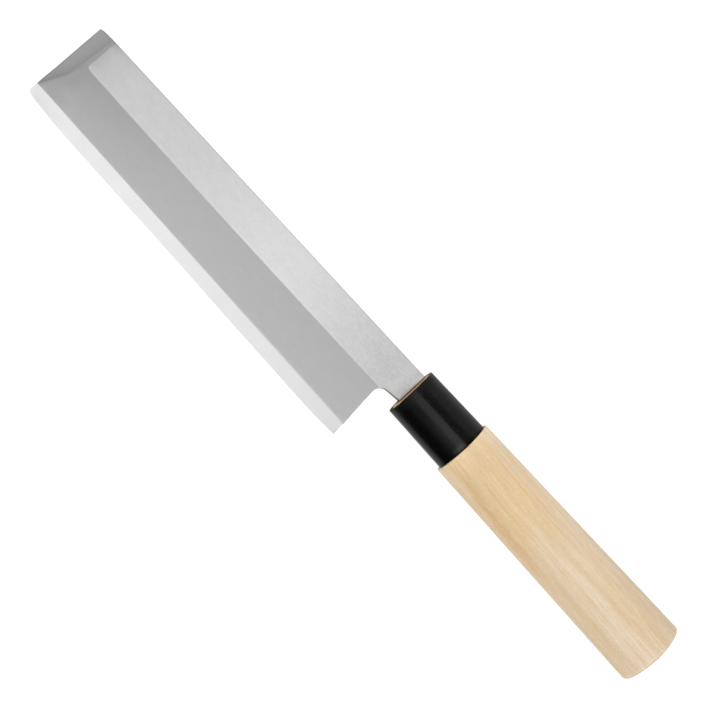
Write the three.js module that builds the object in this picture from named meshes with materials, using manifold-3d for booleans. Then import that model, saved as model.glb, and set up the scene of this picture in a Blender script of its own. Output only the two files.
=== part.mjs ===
// Usuba: a single-bevel vegetable knife with a square front end, a wooden grip of D section and a black ferrule.
// Millimetres, +Z up. The knife lies as on a table, bevelled face up: the front of the blade and the front rim of
// the wooden grip touch z = 0. +X runs from the blade's front to the butt, +Y from the cutting edge to the spine.
// The pieces are drawn in the knife's own frame: x = 0 at the ferrule's mouth on the handle's axis, x towards the
// butt, y towards the spine, z towards the bevelled face. The whole is then pitched to the way it lies.
import * as THREE from 'three';
import { mergeVertices } from 'three/addons/utils/BufferGeometryUtils.js';
import Module from 'manifold-3d';

// ---- blade outline -------------------------------------------------------------------------------------------
const EDGE_TIP = [-172.30, -29.02];      // nominal corner of cutting edge and front
const EDGE_HEEL = [-7.55, -31.58];       // corner of cutting edge and heel
const EDGE_TIP_SOFT = [4.5, 2.0];         // the corner is eased over this length of edge and of front
const HEEL_TOP = [-9.87, -6.73];         // where the heel's line meets the underside of the neck
const HEEL_FILLET = 3.9;
const NECK_UNDER_Y = -5.51;              // underside of the neck at the ferrule
const SPINE_Y = 7.33;                    // spine at the ferrule
const SPINE_SLOPE = 0.0053;              // the spine falls towards the front
const FRONT_TOP = [-171.60, 5.95];       // corner of spine and front
const FRONT_MID = [-171.95, -8.84];
const FRONT_LOW = [-172.20, -23.88];
const SPINE_DROP_X = -167.8;             // the spine is eased down from here to the front

// ---- blade thickness and ground planes -----------------------------------------------------------------------
const HALF_T = 1.40;                     // half of the thickness at neck and heel
const TAPER_X = -13.6;                   // the flat face starts to thin here
const TAPER = 0.0013;                    // per millimetre towards the front
const SHINOGI_Y = -7.91;                 // ridge between flat face and bevel, at x = 0
const SHINOGI_SLOPE = -0.00247;
const BEVEL_SLOPE = 0.106;               // main bevel, about 6 degrees
const EDGE_T = 0.04;                     // thickness left at the cutting edge
const EDGE_BAND_TIP = [-172.36, -23.93]; // upper border of the edge bevel
const EDGE_BAND_HEEL = [-8.33, -26.33];
const FRONT_STEP_LOW = [-164.15, -6.90]; // border of the flat face at the front
const FRONT_STEP_HIGH = [-164.25, 5.50];
const FRONT_STEP_SLOPE = 0.205;
const FACET_LOW = [-172.00, -24.00, -0.562];
const FACET_MID = [-167.30, -13.40, 0.564];
const FACET_HIGH = [-165.95, 5.50, 0.856];

// ---- edge steel ----------------------------------------------------------------------------------------------
const LAMINA_TOP_Y = 0.0;                // the hard layer ends this high on the back
const LAMINA_END_X = -10.6;              // and this far from the ferrule, at the root of the neck
const LAMINA_SLOPE = -0.0167;            // it thins towards the spine
const WELD_GAP = 0.04;
const HOLLOW_DEPTH = 0.30;               // hollow ground back
const HOLLOW_EDGE_RIM = 3.0;
const HOLLOW_SPINE_RIM = 2.6;
const HOLLOW_X = [-168.6, -13.6];
const HOLLOW_END = 13.0;

// ---- tang and its bed ----------------------------------------------------------------------------------------
const TANG_SHOULDER_X = 4.0;
const TANG_TOP = [6.90, 3.00];           // at the shoulder and at the end
const TANG_UNDER = [-5.05, -2.40];
const TANG_END_X = 92.0;
const TANG_TIP = 2.0;
const TANG_TAPER = 0.0045;               // on either face
const BED_GAP = 0.10;
const BED_WALL = 0.85;
const BED_FRONT_X = 1.2;

// ---- handle --------------------------------------------------------------------------------------------------
const FERRULE_LENGTH = 27.8;
const FERRULE_HALF_W = [10.44, 10.92];   // front and back, in y
const FERRULE_HALF_H = [8.35, 8.74];     // in z
const TENON_HALF = [8.80, 6.80];
const TENON_FIT = 0.08;
const SHOULDER_GAP = 0.08;
const BUTT_X = 132.6;
const GRIP_HALF_W = [12.05, 13.65];
const GRIP_HALF_H = [9.64, 10.92];
const BUTT_EASE = [2.2, 5.0];             // rounding of the butt, along the axis and inwards
const RIDGE_Y = 0.03;                    // ridge of the D section, as a share of the half width
const RIDGE_SHARE = 0.25;                // how pointed the bevel side of the section is
const SECTION_POWER = 2.15;
const SECTION_POINTS = 56;

// ---- colours -------------------------------------------------------------------------------------------------
const finish = (color, roughness, metalness) => new THREE.MeshStandardMaterial({ color, roughness, metalness });
const CLADDING = finish(0xb9babb, 0.42, 1.0);
const HARD_STEEL = finish(0xdcdddd, 0.28, 1.0);
const BLACK = finish(0x141414, 0.30, 0.0);
const PALE_WOOD = finish(0xe0c79a, 0.62, 0.0);
const RESIN = finish(0x5a4630, 0.55, 0.0);

// ---- solids --------------------------------------------------------------------------------------------------
const wasm = await Module();
wasm.setup();

function solid(geometry) {
  const bare = geometry.clone();
  bare.deleteAttribute('normal');
  bare.deleteAttribute('uv');
  const merged = mergeVertices(bare, 1e-4);
  return new wasm.Manifold(new wasm.Mesh({
    numProp: 3,
    vertProperties: new Float32Array(merged.attributes.position.array),
    triVerts: new Uint32Array(merged.index.array),
  }));
}

function geometryOf(body) {
  const mesh = body.getMesh();
  const geometry = new THREE.BufferGeometry();
  const step = mesh.numProp;
  const count = mesh.vertProperties.length / step;
  const position = new Float32Array(count * 3);
  for (let i = 0; i < count; i += 1) {
    for (let k = 0; k < 3; k += 1) position[i * 3 + k] = mesh.vertProperties[i * step + k];
  }
  geometry.setAttribute('position', new THREE.BufferAttribute(position, 3));
  geometry.setIndex(new THREE.BufferAttribute(new Uint32Array(mesh.triVerts), 1));
  geometry.computeVertexNormals();
  return geometry;
}

// A flat outline in x and y, raised from z = low to z = high.
function plate(shape, low, high) {
  const geometry = new THREE.ExtrudeGeometry(shape, { depth: high - low, bevelEnabled: false, curveSegments: 8 });
  geometry.translate(0, 0, low);
  return solid(geometry);
}

const polygon = (points) => new THREE.Shape(points.map(([x, y]) => new THREE.Vector2(x, y)));

// Everything above the plane through three points (upper side taken as +z, or below it where down is true).
function beyond(a, b, c, down = false) {
  const plane = new THREE.Plane().setFromCoplanarPoints(
    new THREE.Vector3(...a), new THREE.Vector3(...b), new THREE.Vector3(...c));
  const normal = plane.normal.clone();
  if ((normal.z < 0) !== down) normal.negate();
  const geometry = new THREE.BoxGeometry(700, 700, 60);
  geometry.applyQuaternion(new THREE.Quaternion().setFromUnitVectors(new THREE.Vector3(0, 0, 1), normal));
  const centre = new THREE.Vector3(...a).addScaledVector(normal, 30);
  geometry.translate(centre.x, centre.y, centre.z);
  return solid(geometry);
}

const spineY = (x) => SPINE_Y + SPINE_SLOPE * x;
const edgeY = (x) => EDGE_HEEL[1] + (x - EDGE_HEEL[0]) * (EDGE_TIP[1] - EDGE_HEEL[1]) / (EDGE_TIP[0] - EDGE_HEEL[0]);
const flatZ = (x) => HALF_T + TAPER * (x - TAPER_X);
const shinogiY = (x) => SHINOGI_Y + SHINOGI_SLOPE * x;
const bevelZ = (x, y) => flatZ(x) + BEVEL_SLOPE * (y - shinogiY(x));
const onFlat = ([x, y]) => [x, y, flatZ(x)];
const onBevel = ([x, y]) => [x, y, bevelZ(x, y)];

// Lines of the tang between its shoulder and its end.
const along = (x) => (x - TANG_SHOULDER_X) / (TANG_END_X - TANG_SHOULDER_X);
const tangTop = (x) => (x < TANG_SHOULDER_X
  ? THREE.MathUtils.mapLinear(x, 0, TANG_SHOULDER_X, spineY(0), TANG_TOP[0])
  : THREE.MathUtils.lerp(TANG_TOP[0], TANG_TOP[1], along(x)));
const tangUnder = (x) => (x < TANG_SHOULDER_X
  ? THREE.MathUtils.mapLinear(x, 0, TANG_SHOULDER_X, NECK_UNDER_Y, TANG_UNDER[0])
  : THREE.MathUtils.lerp(TANG_UNDER[0], TANG_UNDER[1], along(x)));

// The tang's outline grown by a margin, from startX to beyond its end.
function tangOutline(startX, margin) {
  const end = TANG_END_X;
  const tip = end + TANG_TIP + margin;
  return polygon([
    [startX, tangUnder(startX) - margin],
    [TANG_SHOULDER_X, tangUnder(TANG_SHOULDER_X) - margin],
    [end, tangUnder(end) - margin],
    [tip, tangUnder(end) + 1.3],
    [tip, tangTop(end) - 1.3],
    [end, tangTop(end) + margin],
    [TANG_SHOULDER_X, tangTop(TANG_SHOULDER_X) + margin],
    [startX, tangTop(startX) + margin],
  ]);
}

// ---- blade ---------------------------------------------------------------------------------------------------
function bladeOutline() {
  const s = new THREE.Shape();
  const [alongEdge, alongFront] = EDGE_TIP_SOFT;
  s.moveTo(EDGE_TIP[0] + alongEdge, edgeY(EDGE_TIP[0] + alongEdge));
  s.lineTo(EDGE_HEEL[0], EDGE_HEEL[1]);
  // heel, rounded into the underside of the neck
  const heel = new THREE.Vector2(HEEL_TOP[0] - EDGE_HEEL[0], HEEL_TOP[1] - EDGE_HEEL[1]).normalize();
  const neck = new THREE.Vector2(-HEEL_TOP[0], NECK_UNDER_Y - HEEL_TOP[1]).normalize();
  const turn = Math.acos(heel.dot(neck));
  const reach = HEEL_FILLET * Math.tan(turn / 2);
  const from = [HEEL_TOP[0] - heel.x * reach, HEEL_TOP[1] - heel.y * reach];
  const centre = [from[0] + heel.y * HEEL_FILLET, from[1] - heel.x * HEEL_FILLET];
  const start = Math.atan2(from[1] - centre[1], from[0] - centre[0]);
  s.lineTo(from[0], from[1]);
  s.absarc(centre[0], centre[1], HEEL_FILLET, start, start - turn, true);
  s.lineTo(0, NECK_UNDER_Y);
  // tang
  s.lineTo(TANG_SHOULDER_X, TANG_UNDER[0]);
  s.lineTo(TANG_END_X, TANG_UNDER[1]);
  s.lineTo(TANG_END_X + TANG_TIP, TANG_UNDER[1] + 1.4);
  s.lineTo(TANG_END_X + TANG_TIP, TANG_TOP[1] - 1.4);
  s.lineTo(TANG_END_X, TANG_TOP[1]);
  s.lineTo(TANG_SHOULDER_X, TANG_TOP[0]);
  s.lineTo(0, spineY(0));
  // spine and front
  s.lineTo(SPINE_DROP_X, spineY(SPINE_DROP_X));
  s.quadraticCurveTo(FRONT_TOP[0] + 1.2, spineY(FRONT_TOP[0]), FRONT_TOP[0], FRONT_TOP[1]);
  s.lineTo(FRONT_MID[0], FRONT_MID[1]);
  s.lineTo(FRONT_LOW[0], FRONT_LOW[1]);
  s.lineTo(EDGE_TIP[0], EDGE_TIP[1] + alongFront);
  s.quadraticCurveTo(EDGE_TIP[0] + 0.2, EDGE_TIP[1] + 0.3, EDGE_TIP[0] + alongEdge, edgeY(EDGE_TIP[0] + alongEdge));
  return s;
}

// The hollow on the back: a shallow trough with rounded ends, following edge and spine.
function hollow() {
  const nx = 30;
  const ny = 8;
  const geometry = new THREE.BoxGeometry(1, 1, 1, nx, ny, 1);
  const p = geometry.attributes.position;
  const [x0, x1] = HOLLOW_X;
  for (let i = 0; i < p.count; i += 1) {
    const u = p.getX(i) + 0.5;
    const v = p.getY(i) * 2;
    // stations crowd towards both ends
    const x = x0 + (x1 - x0) * (0.5 - 0.5 * Math.cos(Math.PI * u));
    const toEnd = Math.min(x - x0, x1 - x);
    const e = toEnd >= HOLLOW_END ? 1 : Math.sqrt(Math.max(1 - (1 - toEnd / HOLLOW_END) ** 2, 0.1));
    const low = edgeY(x) + HOLLOW_EDGE_RIM;
    const high = spineY(x) - HOLLOW_SPINE_RIM;
    const y = (low + high) / 2 + v * e * (high - low) / 2;
    const z = p.getZ(i) > 0 ? -HALF_T + HOLLOW_DEPTH * e * e * (1 - v * v) : -HALF_T - 2;
    p.setXYZ(i, x, y, z);
  }
  return solid(geometry);
}

const wholeBlade = () => {
  const bandTip = [...EDGE_BAND_TIP, bevelZ(...EDGE_BAND_TIP)];
  const bandHeel = [...EDGE_BAND_HEEL, bevelZ(...EDGE_BAND_HEEL)];
  const edgePoint = [-90, edgeY(-90), -HALF_T + EDGE_T];
  const stepLow = onFlat(FRONT_STEP_LOW);
  const stepHigh = onFlat(FRONT_STEP_HIGH);
  return plate(bladeOutline(), -HALF_T, HALF_T)
    .subtract(beyond(onFlat([TAPER_X, 0]), onFlat([TAPER_X, 10]), onFlat([-170, 0])))
    .subtract(beyond(onBevel([-20, -8]), onBevel([-150, -8]), onBevel([-90, -25])))
    .subtract(beyond(bandTip, bandHeel, edgePoint))
    .subtract(beyond(stepLow, stepHigh, [stepLow[0] - 5, stepLow[1] + 0.26, stepLow[2] - 5 * FRONT_STEP_SLOPE]))
    .subtract(beyond(FACET_LOW, FACET_MID, FACET_HIGH))
    .subtract(beyond([6, 0, HALF_T], [6, 5, HALF_T], [96, 0, HALF_T - 90 * TANG_TAPER]))
    .subtract(beyond([6, 0, -HALF_T], [6, 5, -HALF_T], [96, 0, -HALF_T + 90 * TANG_TAPER], true))
    .subtract(hollow());
};

// The region of the hard layer, grown by a margin.
function laminaRegion(margin) {
  const region = plate(polygon([
    [-180, -40], [0, -40], [0, -9.3 + margin], [LAMINA_END_X + margin, -9.3 + margin],
    [LAMINA_END_X + margin, LAMINA_TOP_Y + margin], [-180, LAMINA_TOP_Y + margin],
  ]), -6, 6);
  const tip = [...EDGE_BAND_TIP, bevelZ(...EDGE_BAND_TIP) + margin];
  const heel = [...EDGE_BAND_HEEL, bevelZ(...EDGE_BAND_HEEL) + margin];
  const up = [tip[0], tip[1] + 20, tip[2] + 20 * LAMINA_SLOPE];
  return region.subtract(beyond(tip, heel, up));
}

// ---- handle --------------------------------------------------------------------------------------------------
// Half-width 1 and half-height 1; x is across the handle (towards the spine), y towards the bevelled face.
function dSection(ridge) {
  const points = [];
  const q = SECTION_POINTS / 4;
  const ridgeAngle = Math.acos(RIDGE_Y);
  for (let i = 0; i < SECTION_POINTS; i += 1) {
    let t;
    if (i < q) t = (ridgeAngle * i) / q;
    else if (i < 2 * q) t = ridgeAngle + ((Math.PI - ridgeAngle) * (i - q)) / q;
    else t = Math.PI + (Math.PI * (i - 2 * q)) / (2 * q);
    const c = Math.cos(t);
    const s = Math.sin(t);
    const x = Math.sign(c) * Math.abs(c) ** (2 / SECTION_POWER);
    const round = Math.abs(s) ** (2 / SECTION_POWER);
    const tent = x > RIDGE_Y ? (1 - x) / (1 - RIDGE_Y) : (1 + x) / (1 + RIDGE_Y);
    const y = s >= 0 ? (1 - ridge) * round + ridge * tent : -round;
    points.push(new THREE.Vector2(x, y));
  }
  return new THREE.Shape(points);
}

// A section swept along the handle's axis; each station gives x, the half width and the half height.
function swept(shape, stations) {
  const steps = stations.length - 1;
  const geometry = new THREE.ExtrudeGeometry(shape, { depth: steps, steps, bevelEnabled: false });
  geometry.applyMatrix4(new THREE.Matrix4().makeBasis(
    new THREE.Vector3(0, 1, 0), new THREE.Vector3(0, 0, 1), new THREE.Vector3(1, 0, 0)));
  const p = geometry.attributes.position;
  for (let i = 0; i < p.count; i += 1) {
    const [x, w, h] = stations[Math.round(p.getX(i))];
    p.setXYZ(i, x, p.getY(i) * w, p.getZ(i) * h);
  }
  return solid(geometry);
}

const ramp = (range, t) => THREE.MathUtils.lerp(range[0], range[1], t);

function ferrule() {
  const at = (x, inset) => [x, ramp(FERRULE_HALF_W, x / FERRULE_LENGTH) - inset, ramp(FERRULE_HALF_H, x / FERRULE_LENGTH) - inset];
  const sleeve = swept(dSection(RIDGE_SHARE), [
    at(0, 0.30), at(0.10, 0.10), at(0.35, 0), at(FERRULE_LENGTH, 0),
  ]);
  const bore = swept(dSection(0), [
    [-1, TENON_HALF[0] + TENON_FIT, TENON_HALF[1] + TENON_FIT],
    [FERRULE_LENGTH + 1, TENON_HALF[0] + TENON_FIT, TENON_HALF[1] + TENON_FIT],
  ]);
  return sleeve.subtract(bore);
}

function grip() {
  const front = FERRULE_LENGTH + SHOULDER_GAP;
  const at = (x, inset) => {
    const t = (x - front) / (BUTT_X - front);
    return [x, ramp(GRIP_HALF_W, t) - inset, ramp(GRIP_HALF_H, t) - inset];
  };
  const [deep, wide] = BUTT_EASE;
  const round = [72, 54, 36, 18, 0].map((deg) => {
    const a = THREE.MathUtils.degToRad(deg);
    return at(BUTT_X - deep * (1 - Math.cos(a)), wide * (1 - Math.sin(a)));
  });
  const body = swept(dSection(RIDGE_SHARE), [
    at(front, 0.35), at(front + 0.10, 0.12), at(front + 0.35, 0), at(BUTT_X - deep, 0), ...round,
  ]);
  const tenon = swept(dSection(0), [
    [0, TENON_HALF[0] - 0.2, TENON_HALF[1] - 0.2], [0.2, ...TENON_HALF], [front + 4, ...TENON_HALF],
  ]);
  const h = HALF_T + 2 * BED_GAP + BED_WALL;
  const pocket = plate(tangOutline(-2, 2 * BED_GAP + BED_WALL), -h, h);
  return body.add(tenon).subtract(pocket);
}

function bedding() {
  const h = HALF_T + BED_GAP + BED_WALL;
  const outer = plate(tangOutline(BED_FRONT_X, BED_GAP + BED_WALL), -h, h);
  const inner = plate(tangOutline(-2, BED_GAP), -HALF_T - BED_GAP, HALF_T + BED_GAP);
  return outer.subtract(inner);
}

// ---- assembly ------------------------------------------------------------------------------------------------
const blade = wholeBlade();
const pieces = [
  ['blade_body', blade.subtract(laminaRegion(WELD_GAP)), CLADDING],
  ['edge_steel', blade.intersect(laminaRegion(0)), HARD_STEEL],
  ['ferrule', ferrule(), BLACK],
  ['handle_grip', grip(), PALE_WOOD],
  ['tang_bedding', bedding(), RESIN],
];

const knife = new THREE.Group();
for (const [name, body, material] of pieces) {
  const mesh = new THREE.Mesh(geometryOf(body), material);
  mesh.name = name;
  knife.add(mesh);
}

// It lies on the lower corner of the blade's front and on the lower front rim of the grip.
const rimX = FERRULE_LENGTH + SHOULDER_GAP + 0.35;
const pitch = Math.atan((GRIP_HALF_H[0] - HALF_T) / (rimX - FRONT_MID[0]));
knife.rotation.y = -pitch;
knife.updateMatrixWorld(true);
const box = new THREE.Box3().setFromObject(knife, true);
knife.position.set(-(box.min.x + box.max.x) / 2, -(box.min.y + box.max.y) / 2, -box.min.z);

const group = new THREE.Group();
group.add(knife);
group.updateMatrixWorld(true);

export default group;
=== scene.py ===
import math

import bpy
import numpy as np
from mathutils import Matrix, Vector
from mathutils.geometry import delaunay_2d_cdt


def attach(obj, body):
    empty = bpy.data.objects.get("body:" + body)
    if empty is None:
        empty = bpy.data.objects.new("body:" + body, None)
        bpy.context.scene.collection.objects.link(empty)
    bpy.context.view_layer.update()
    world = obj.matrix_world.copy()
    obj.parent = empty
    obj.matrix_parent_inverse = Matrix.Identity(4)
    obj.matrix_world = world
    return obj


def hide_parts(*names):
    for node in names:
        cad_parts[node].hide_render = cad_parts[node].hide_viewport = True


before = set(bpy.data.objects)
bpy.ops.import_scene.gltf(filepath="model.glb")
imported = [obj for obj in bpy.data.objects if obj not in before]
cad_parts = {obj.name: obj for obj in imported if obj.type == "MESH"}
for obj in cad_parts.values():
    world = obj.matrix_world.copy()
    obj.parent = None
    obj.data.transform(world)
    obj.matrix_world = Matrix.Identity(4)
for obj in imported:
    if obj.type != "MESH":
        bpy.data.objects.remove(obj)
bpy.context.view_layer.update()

# An usuba: a single-bevel vegetable knife. The pieces are drawn in the knife's own frame in millimetres (x = 0 at the
# ferrule's mouth on the handle's axis, x towards the butt, y towards the spine, z towards the bevelled face), and are
# then turned and shifted to lie on the table, the same as in the construction.

# ---- the construction's dimensions, millimetres ---------------------------------------------------------------
EDGE_TIP, EDGE_HEEL = (-172.30, -29.02), (-7.55, -31.58)
EDGE_TIP_SOFT = (4.5, 2.0)
HEEL_TOP, HEEL_FILLET = (-9.87, -6.73), 3.9
NECK_UNDER_Y, SPINE_Y, SPINE_SLOPE = -5.51, 7.33, 0.0053
FRONT_TOP, FRONT_MID, FRONT_LOW = (-171.60, 5.95), (-171.95, -8.84), (-172.20, -23.88)
SPINE_DROP_X = -167.8
HALF_T, TAPER_X, TAPER = 1.40, -13.6, 0.0013
SHINOGI_Y, SHINOGI_SLOPE, BEVEL_SLOPE, EDGE_T = -7.91, -0.00247, 0.106, 0.04
EDGE_BAND_TIP, EDGE_BAND_HEEL = (-172.36, -23.93), (-8.33, -26.33)
FRONT_STEP_LOW, FRONT_STEP_HIGH, FRONT_STEP_SLOPE = (-164.15, -6.90), (-164.25, 5.50), 0.205
FACET_LOW, FACET_MID, FACET_HIGH = (-172.00, -24.00, -0.562), (-167.30, -13.40, 0.564), (-165.95, 5.50, 0.856)
LAMINA_TOP_Y, LAMINA_END_X, LAMINA_HEEL_Y, LAMINA_SLOPE = 0.0, -10.6, -9.3, -0.0167
HOLLOW_DEPTH, HOLLOW_EDGE_RIM, HOLLOW_SPINE_RIM = 0.30, 3.0, 2.6
HOLLOW_X, HOLLOW_END = (-168.6, -13.6), 13.0
TANG_SHOULDER_X, TANG_TOP, TANG_UNDER = 4.0, (6.90, 3.00), (-5.05, -2.40)
TANG_END_X, TANG_TIP, TANG_TAPER = 92.0, 2.0, 0.0045
BED_GAP, BED_WALL = 0.10, 0.85
FERRULE_LENGTH, FERRULE_HALF_W, FERRULE_HALF_H = 27.8, (10.44, 10.92), (8.35, 8.74)
TENON_HALF, TENON_FIT, SHOULDER_GAP = (8.80, 6.80), 0.08, 0.08
BUTT_X, GRIP_HALF_W, GRIP_HALF_H, BUTT_EASE = 132.6, (12.05, 13.65), (9.64, 10.92), (2.2, 5.0)
RIDGE_Y, RIDGE_SHARE, SECTION_POWER = 0.03, 0.25, 2.15

# how the knife lies
PITCH = math.atan((GRIP_HALF_H[0] - HALF_T) / (FERRULE_LENGTH + SHOULDER_GAP + 0.35 - FRONT_MID[0]))
SHIFT = (19.690180924, 8.981806755, 8.485191399)
LIE = Matrix.Translation(Vector(SHIFT) * 0.001) @ Matrix.Rotation(-PITCH, 4, "Y")


# ---- node trees -----------------------------------------------------------------------------------------------
def linear(r, g, b):
    def one(c):
        c /= 255.0
        return c / 12.92 if c <= 0.04045 else ((c + 0.055) / 1.055) ** 2.4
    return (one(r), one(g), one(b), 1.0)


class Nodes:
    """Short hand for a material's node tree; coordinates are the knife's own, in millimetres, or else the object's."""

    def __init__(self, name, own=True):
        self.material = bpy.data.materials.new(name)
        self.material.use_nodes = True
        self.tree = self.material.node_tree
        self.shader = next(n for n in self.tree.nodes if n.type == "BSDF_PRINCIPLED")
        if own:
            where = self.tree.nodes.new("ShaderNodeAttribute")
            where.attribute_name = "knife_mm"
            self.mm = where.outputs["Vector"]
        else:
            where = self.tree.nodes.new("ShaderNodeTexCoord")
            self.mm = self.vector("SCALE", where.outputs["Object"], scale=1000.0)
        self._xyz = None

    def put(self, value, socket):
        if isinstance(value, bpy.types.NodeSocket):
            self.tree.links.new(value, socket)
        else:
            socket.default_value = value

    def vector(self, op, a, b=None, scale=None):
        n = self.tree.nodes.new("ShaderNodeVectorMath")
        n.operation = op
        self.put(a, n.inputs[0])
        if b is not None:
            self.put(b, n.inputs[1])
        if scale is not None:
            self.put(scale, n.inputs["Scale"])
        return n.outputs[0]

    def math(self, op, a, b=0.0, c=0.0, clamp=False):
        n = self.tree.nodes.new("ShaderNodeMath")
        n.operation, n.use_clamp = op, clamp
        for i, v in enumerate((a, b, c)):
            self.put(v, n.inputs[i])
        return n.outputs[0]

    def xyz(self):
        if self._xyz is None:
            n = self.tree.nodes.new("ShaderNodeSeparateXYZ")
            self.put(self.mm, n.inputs[0])
            self._xyz = n.outputs
        return self._xyz

    def noise(self, size, detail=2.0, rough=0.5, at=None, shift=(0.0, 0.0, 0.0), distortion=0.0):
        """Noise whose grain has about this size in millimetres along x, y and z, from 0 to 1."""
        v = self.vector("DIVIDE", self.mm if at is None else at, size)
        v = self.vector("ADD", v, shift)
        n = self.tree.nodes.new("ShaderNodeTexNoise")
        self.put(v, n.inputs["Vector"])
        n.inputs["Scale"].default_value = 1.0
        n.inputs["Detail"].default_value = detail
        n.inputs["Roughness"].default_value = rough
        n.inputs["Distortion"].default_value = distortion
        return n.outputs[0]

    def remap(self, value, a, b, to_a, to_b, smooth=False):
        n = self.tree.nodes.new("ShaderNodeMapRange")
        n.interpolation_type = "SMOOTHSTEP" if smooth else "LINEAR"
        self.put(value, n.inputs["Value"])
        for key, v in (("From Min", a), ("From Max", b), ("To Min", to_a), ("To Max", to_b)):
            self.put(v, n.inputs[key])
        return n.outputs[0]

    def mix(self, factor, a, b, how="MIX"):
        n = self.tree.nodes.new("ShaderNodeMix")
        n.data_type, n.blend_type = "RGBA", how
        self.put(factor, n.inputs[0])
        self.put(a, n.inputs[6])
        self.put(b, n.inputs[7])
        return n.outputs[2]

    def scaled(self, colour, factor):
        """A colour times a number."""
        return self.vector("SCALE", colour, scale=factor)

    def attribute(self, name):
        n = self.tree.nodes.new("ShaderNodeAttribute")
        n.attribute_name = name
        return n.outputs["Fac"]

    def bump(self, height, depth_mm, strength=1.0, onto=None):
        n = self.tree.nodes.new("ShaderNodeBump")
        n.inputs["Strength"].default_value = strength
        n.inputs["Distance"].default_value = depth_mm * 0.001
        self.put(height, n.inputs["Height"])
        if onto is not None:
            self.put(onto, n.inputs["Normal"])
        return n.outputs[0]

    def set(self, **sockets):
        for key, value in sockets.items():
            self.put(value, self.shader.inputs[key.replace("_", " ")])
        return self.material


# ---- steel ----------------------------------------------------------------------------------------------------
def steel(name, grey, rough, grind=0.0006, mottle=0.03, grain=0.03, lines=(60.0, 0.11, 0.11), warm=0.0, spots=None, patches=None):
    """Ground steel: a grey with cloudy and fine variation, lengthwise grinding lines and a roughness that follows them.
    Spots and patches are pairs: how strong they are towards the front and at the neck."""
    n = Nodes(name)
    cloud = n.noise((11.0, 6.0, 6.0), 3.0, 0.55)
    fine = n.noise((0.9, 0.30, 0.30), 2.0, 0.6, shift=(7.0, 3.0, 1.0))
    line = n.noise(lines, 2.0, 0.6, shift=(2.0, 5.0, 9.0))
    value = n.math("MULTIPLY", n.attribute("tone"), grey)
    value = n.math("MULTIPLY", value, n.remap(cloud, 0.3, 0.7, 1.0 - mottle, 1.0 + mottle))
    value = n.math("MULTIPLY", value, n.remap(fine, 0.25, 0.75, 1.0 - grain, 1.0 + grain))
    value = n.math("MULTIPLY", value, n.remap(line, 0.25, 0.75, 1.0 - grain, 1.0 + grain))
    x, y, z = n.xyz()
    for pair, size, shift in ((spots, (1.3, 0.8, 0.8), (1.0, 9.0, 4.0)), (patches, (5.0, 2.4, 2.4), (6.0, 2.0, 8.0))):
        if pair:
            spot = n.math("SUBTRACT", n.noise(size, 1.0, 0.5, shift=shift), 0.5)
            value = n.math("MULTIPLY", value, n.math("ADD", n.math("MULTIPLY", spot, n.remap(x, -52.0, -8.0, pair[0], pair[1])), 1.0))
    colour = n.scaled((1.0 + warm, 1.0, 1.0 - warm), value)
    # a brown painted shadow where the neck enters the handle
    colour = n.vector("MULTIPLY", colour, n.mix(n.remap(x, -0.75, -0.4, 0.0, 1.0), (1.0, 1.0, 1.0, 1.0), (0.86, 0.64, 0.44, 1.0)))
    roughness = n.remap(n.math("ADD", n.math("MULTIPLY", cloud, 0.5), n.math("MULTIPLY", line, 0.5)),
                        0.3, 0.7, rough - 0.05, rough + 0.05)
    height = n.math("ADD", n.math("MULTIPLY", line, 0.7), n.math("MULTIPLY", fine, 0.3))
    return n.set(Base_Color=colour, Metallic=1.0, Roughness=roughness, Normal=n.bump(height, grind * 10.0, 0.5))


STEELS = {
    "hira": steel("steel_flat_satin", 0.66, 0.34, mottle=0.042, grain=0.036, spots=(0.10, 0.27), patches=(0.07, 0.10)),
    "kireha": steel("steel_bevel_hazy", 0.49, 0.46, mottle=0.02, spots=(0.035, 0.035), patches=(0.065, 0.065)),
    "facet": steel("steel_front_facet", 0.395, 0.44),
    "side": steel("steel_spine_side", 0.42, 0.42),
    # the neck's lower edge and side are oxidised brown, and painted darker still as shade
    "neck_rim": steel("steel_neck_edge", 0.24, 0.45, mottle=0.15, warm=0.42),
    "heel_side": steel("steel_heel_side", 0.13, 0.50, mottle=0.10, warm=0.03),
    "neck_side": steel("steel_neck_oxide_and_shade", 0.06, 0.55, mottle=0.15, warm=0.30),
    "band": steel("steel_edge_band", 0.78, 0.32, mottle=0.012, grain=0.015),
    "hollow": steel("steel_back_hollow", 0.60, 0.34),
    "rim": steel("steel_back_rim", 0.74, 0.26, mottle=0.015),
    "weld": steel("steel_weld_face", 0.35, 0.55),
    "tang": steel("steel_tang_scale", 0.22, 0.60, mottle=0.10, warm=0.10),
}


# ---- blade: the ground planes as heights over the outline ---------------------------------------------------------
def plane(a, b, c):
    """p, q, r of z = p x + q y + r through three points."""
    return np.linalg.solve(np.array([[a[0], a[1], 1], [b[0], b[1], 1], [c[0], c[1], 1]], float),
                           np.array([a[2], b[2], c[2]], float))


def at_plane(k, x, y):
    return k[0] * x + k[1] * y + k[2]


def spine_y(x):
    return SPINE_Y + SPINE_SLOPE * x


def edge_y(x):
    return EDGE_HEEL[1] + (x - EDGE_HEEL[0]) * (EDGE_TIP[1] - EDGE_HEEL[1]) / (EDGE_TIP[0] - EDGE_HEEL[0])


def band_y(x):
    a, b = EDGE_BAND_TIP, EDGE_BAND_HEEL
    return a[1] + (x - a[0]) * (b[1] - a[1]) / (b[0] - a[0])


def shinogi_y(x):
    return SHINOGI_Y + SHINOGI_SLOPE * x


def taper_z(x):
    return HALF_T + TAPER * (x - TAPER_X)


def ridge_bow(x):
    """The ridge is ground by hand: it rises a little towards both ends, and more at the corner in front."""
    return 0.30 * ((x + 90.0) / 68.0) ** 2 - 0.08 + 0.40 * np.clip((-161.0 - x) / 3.5, 0.0, 1.0) ** 2


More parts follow.
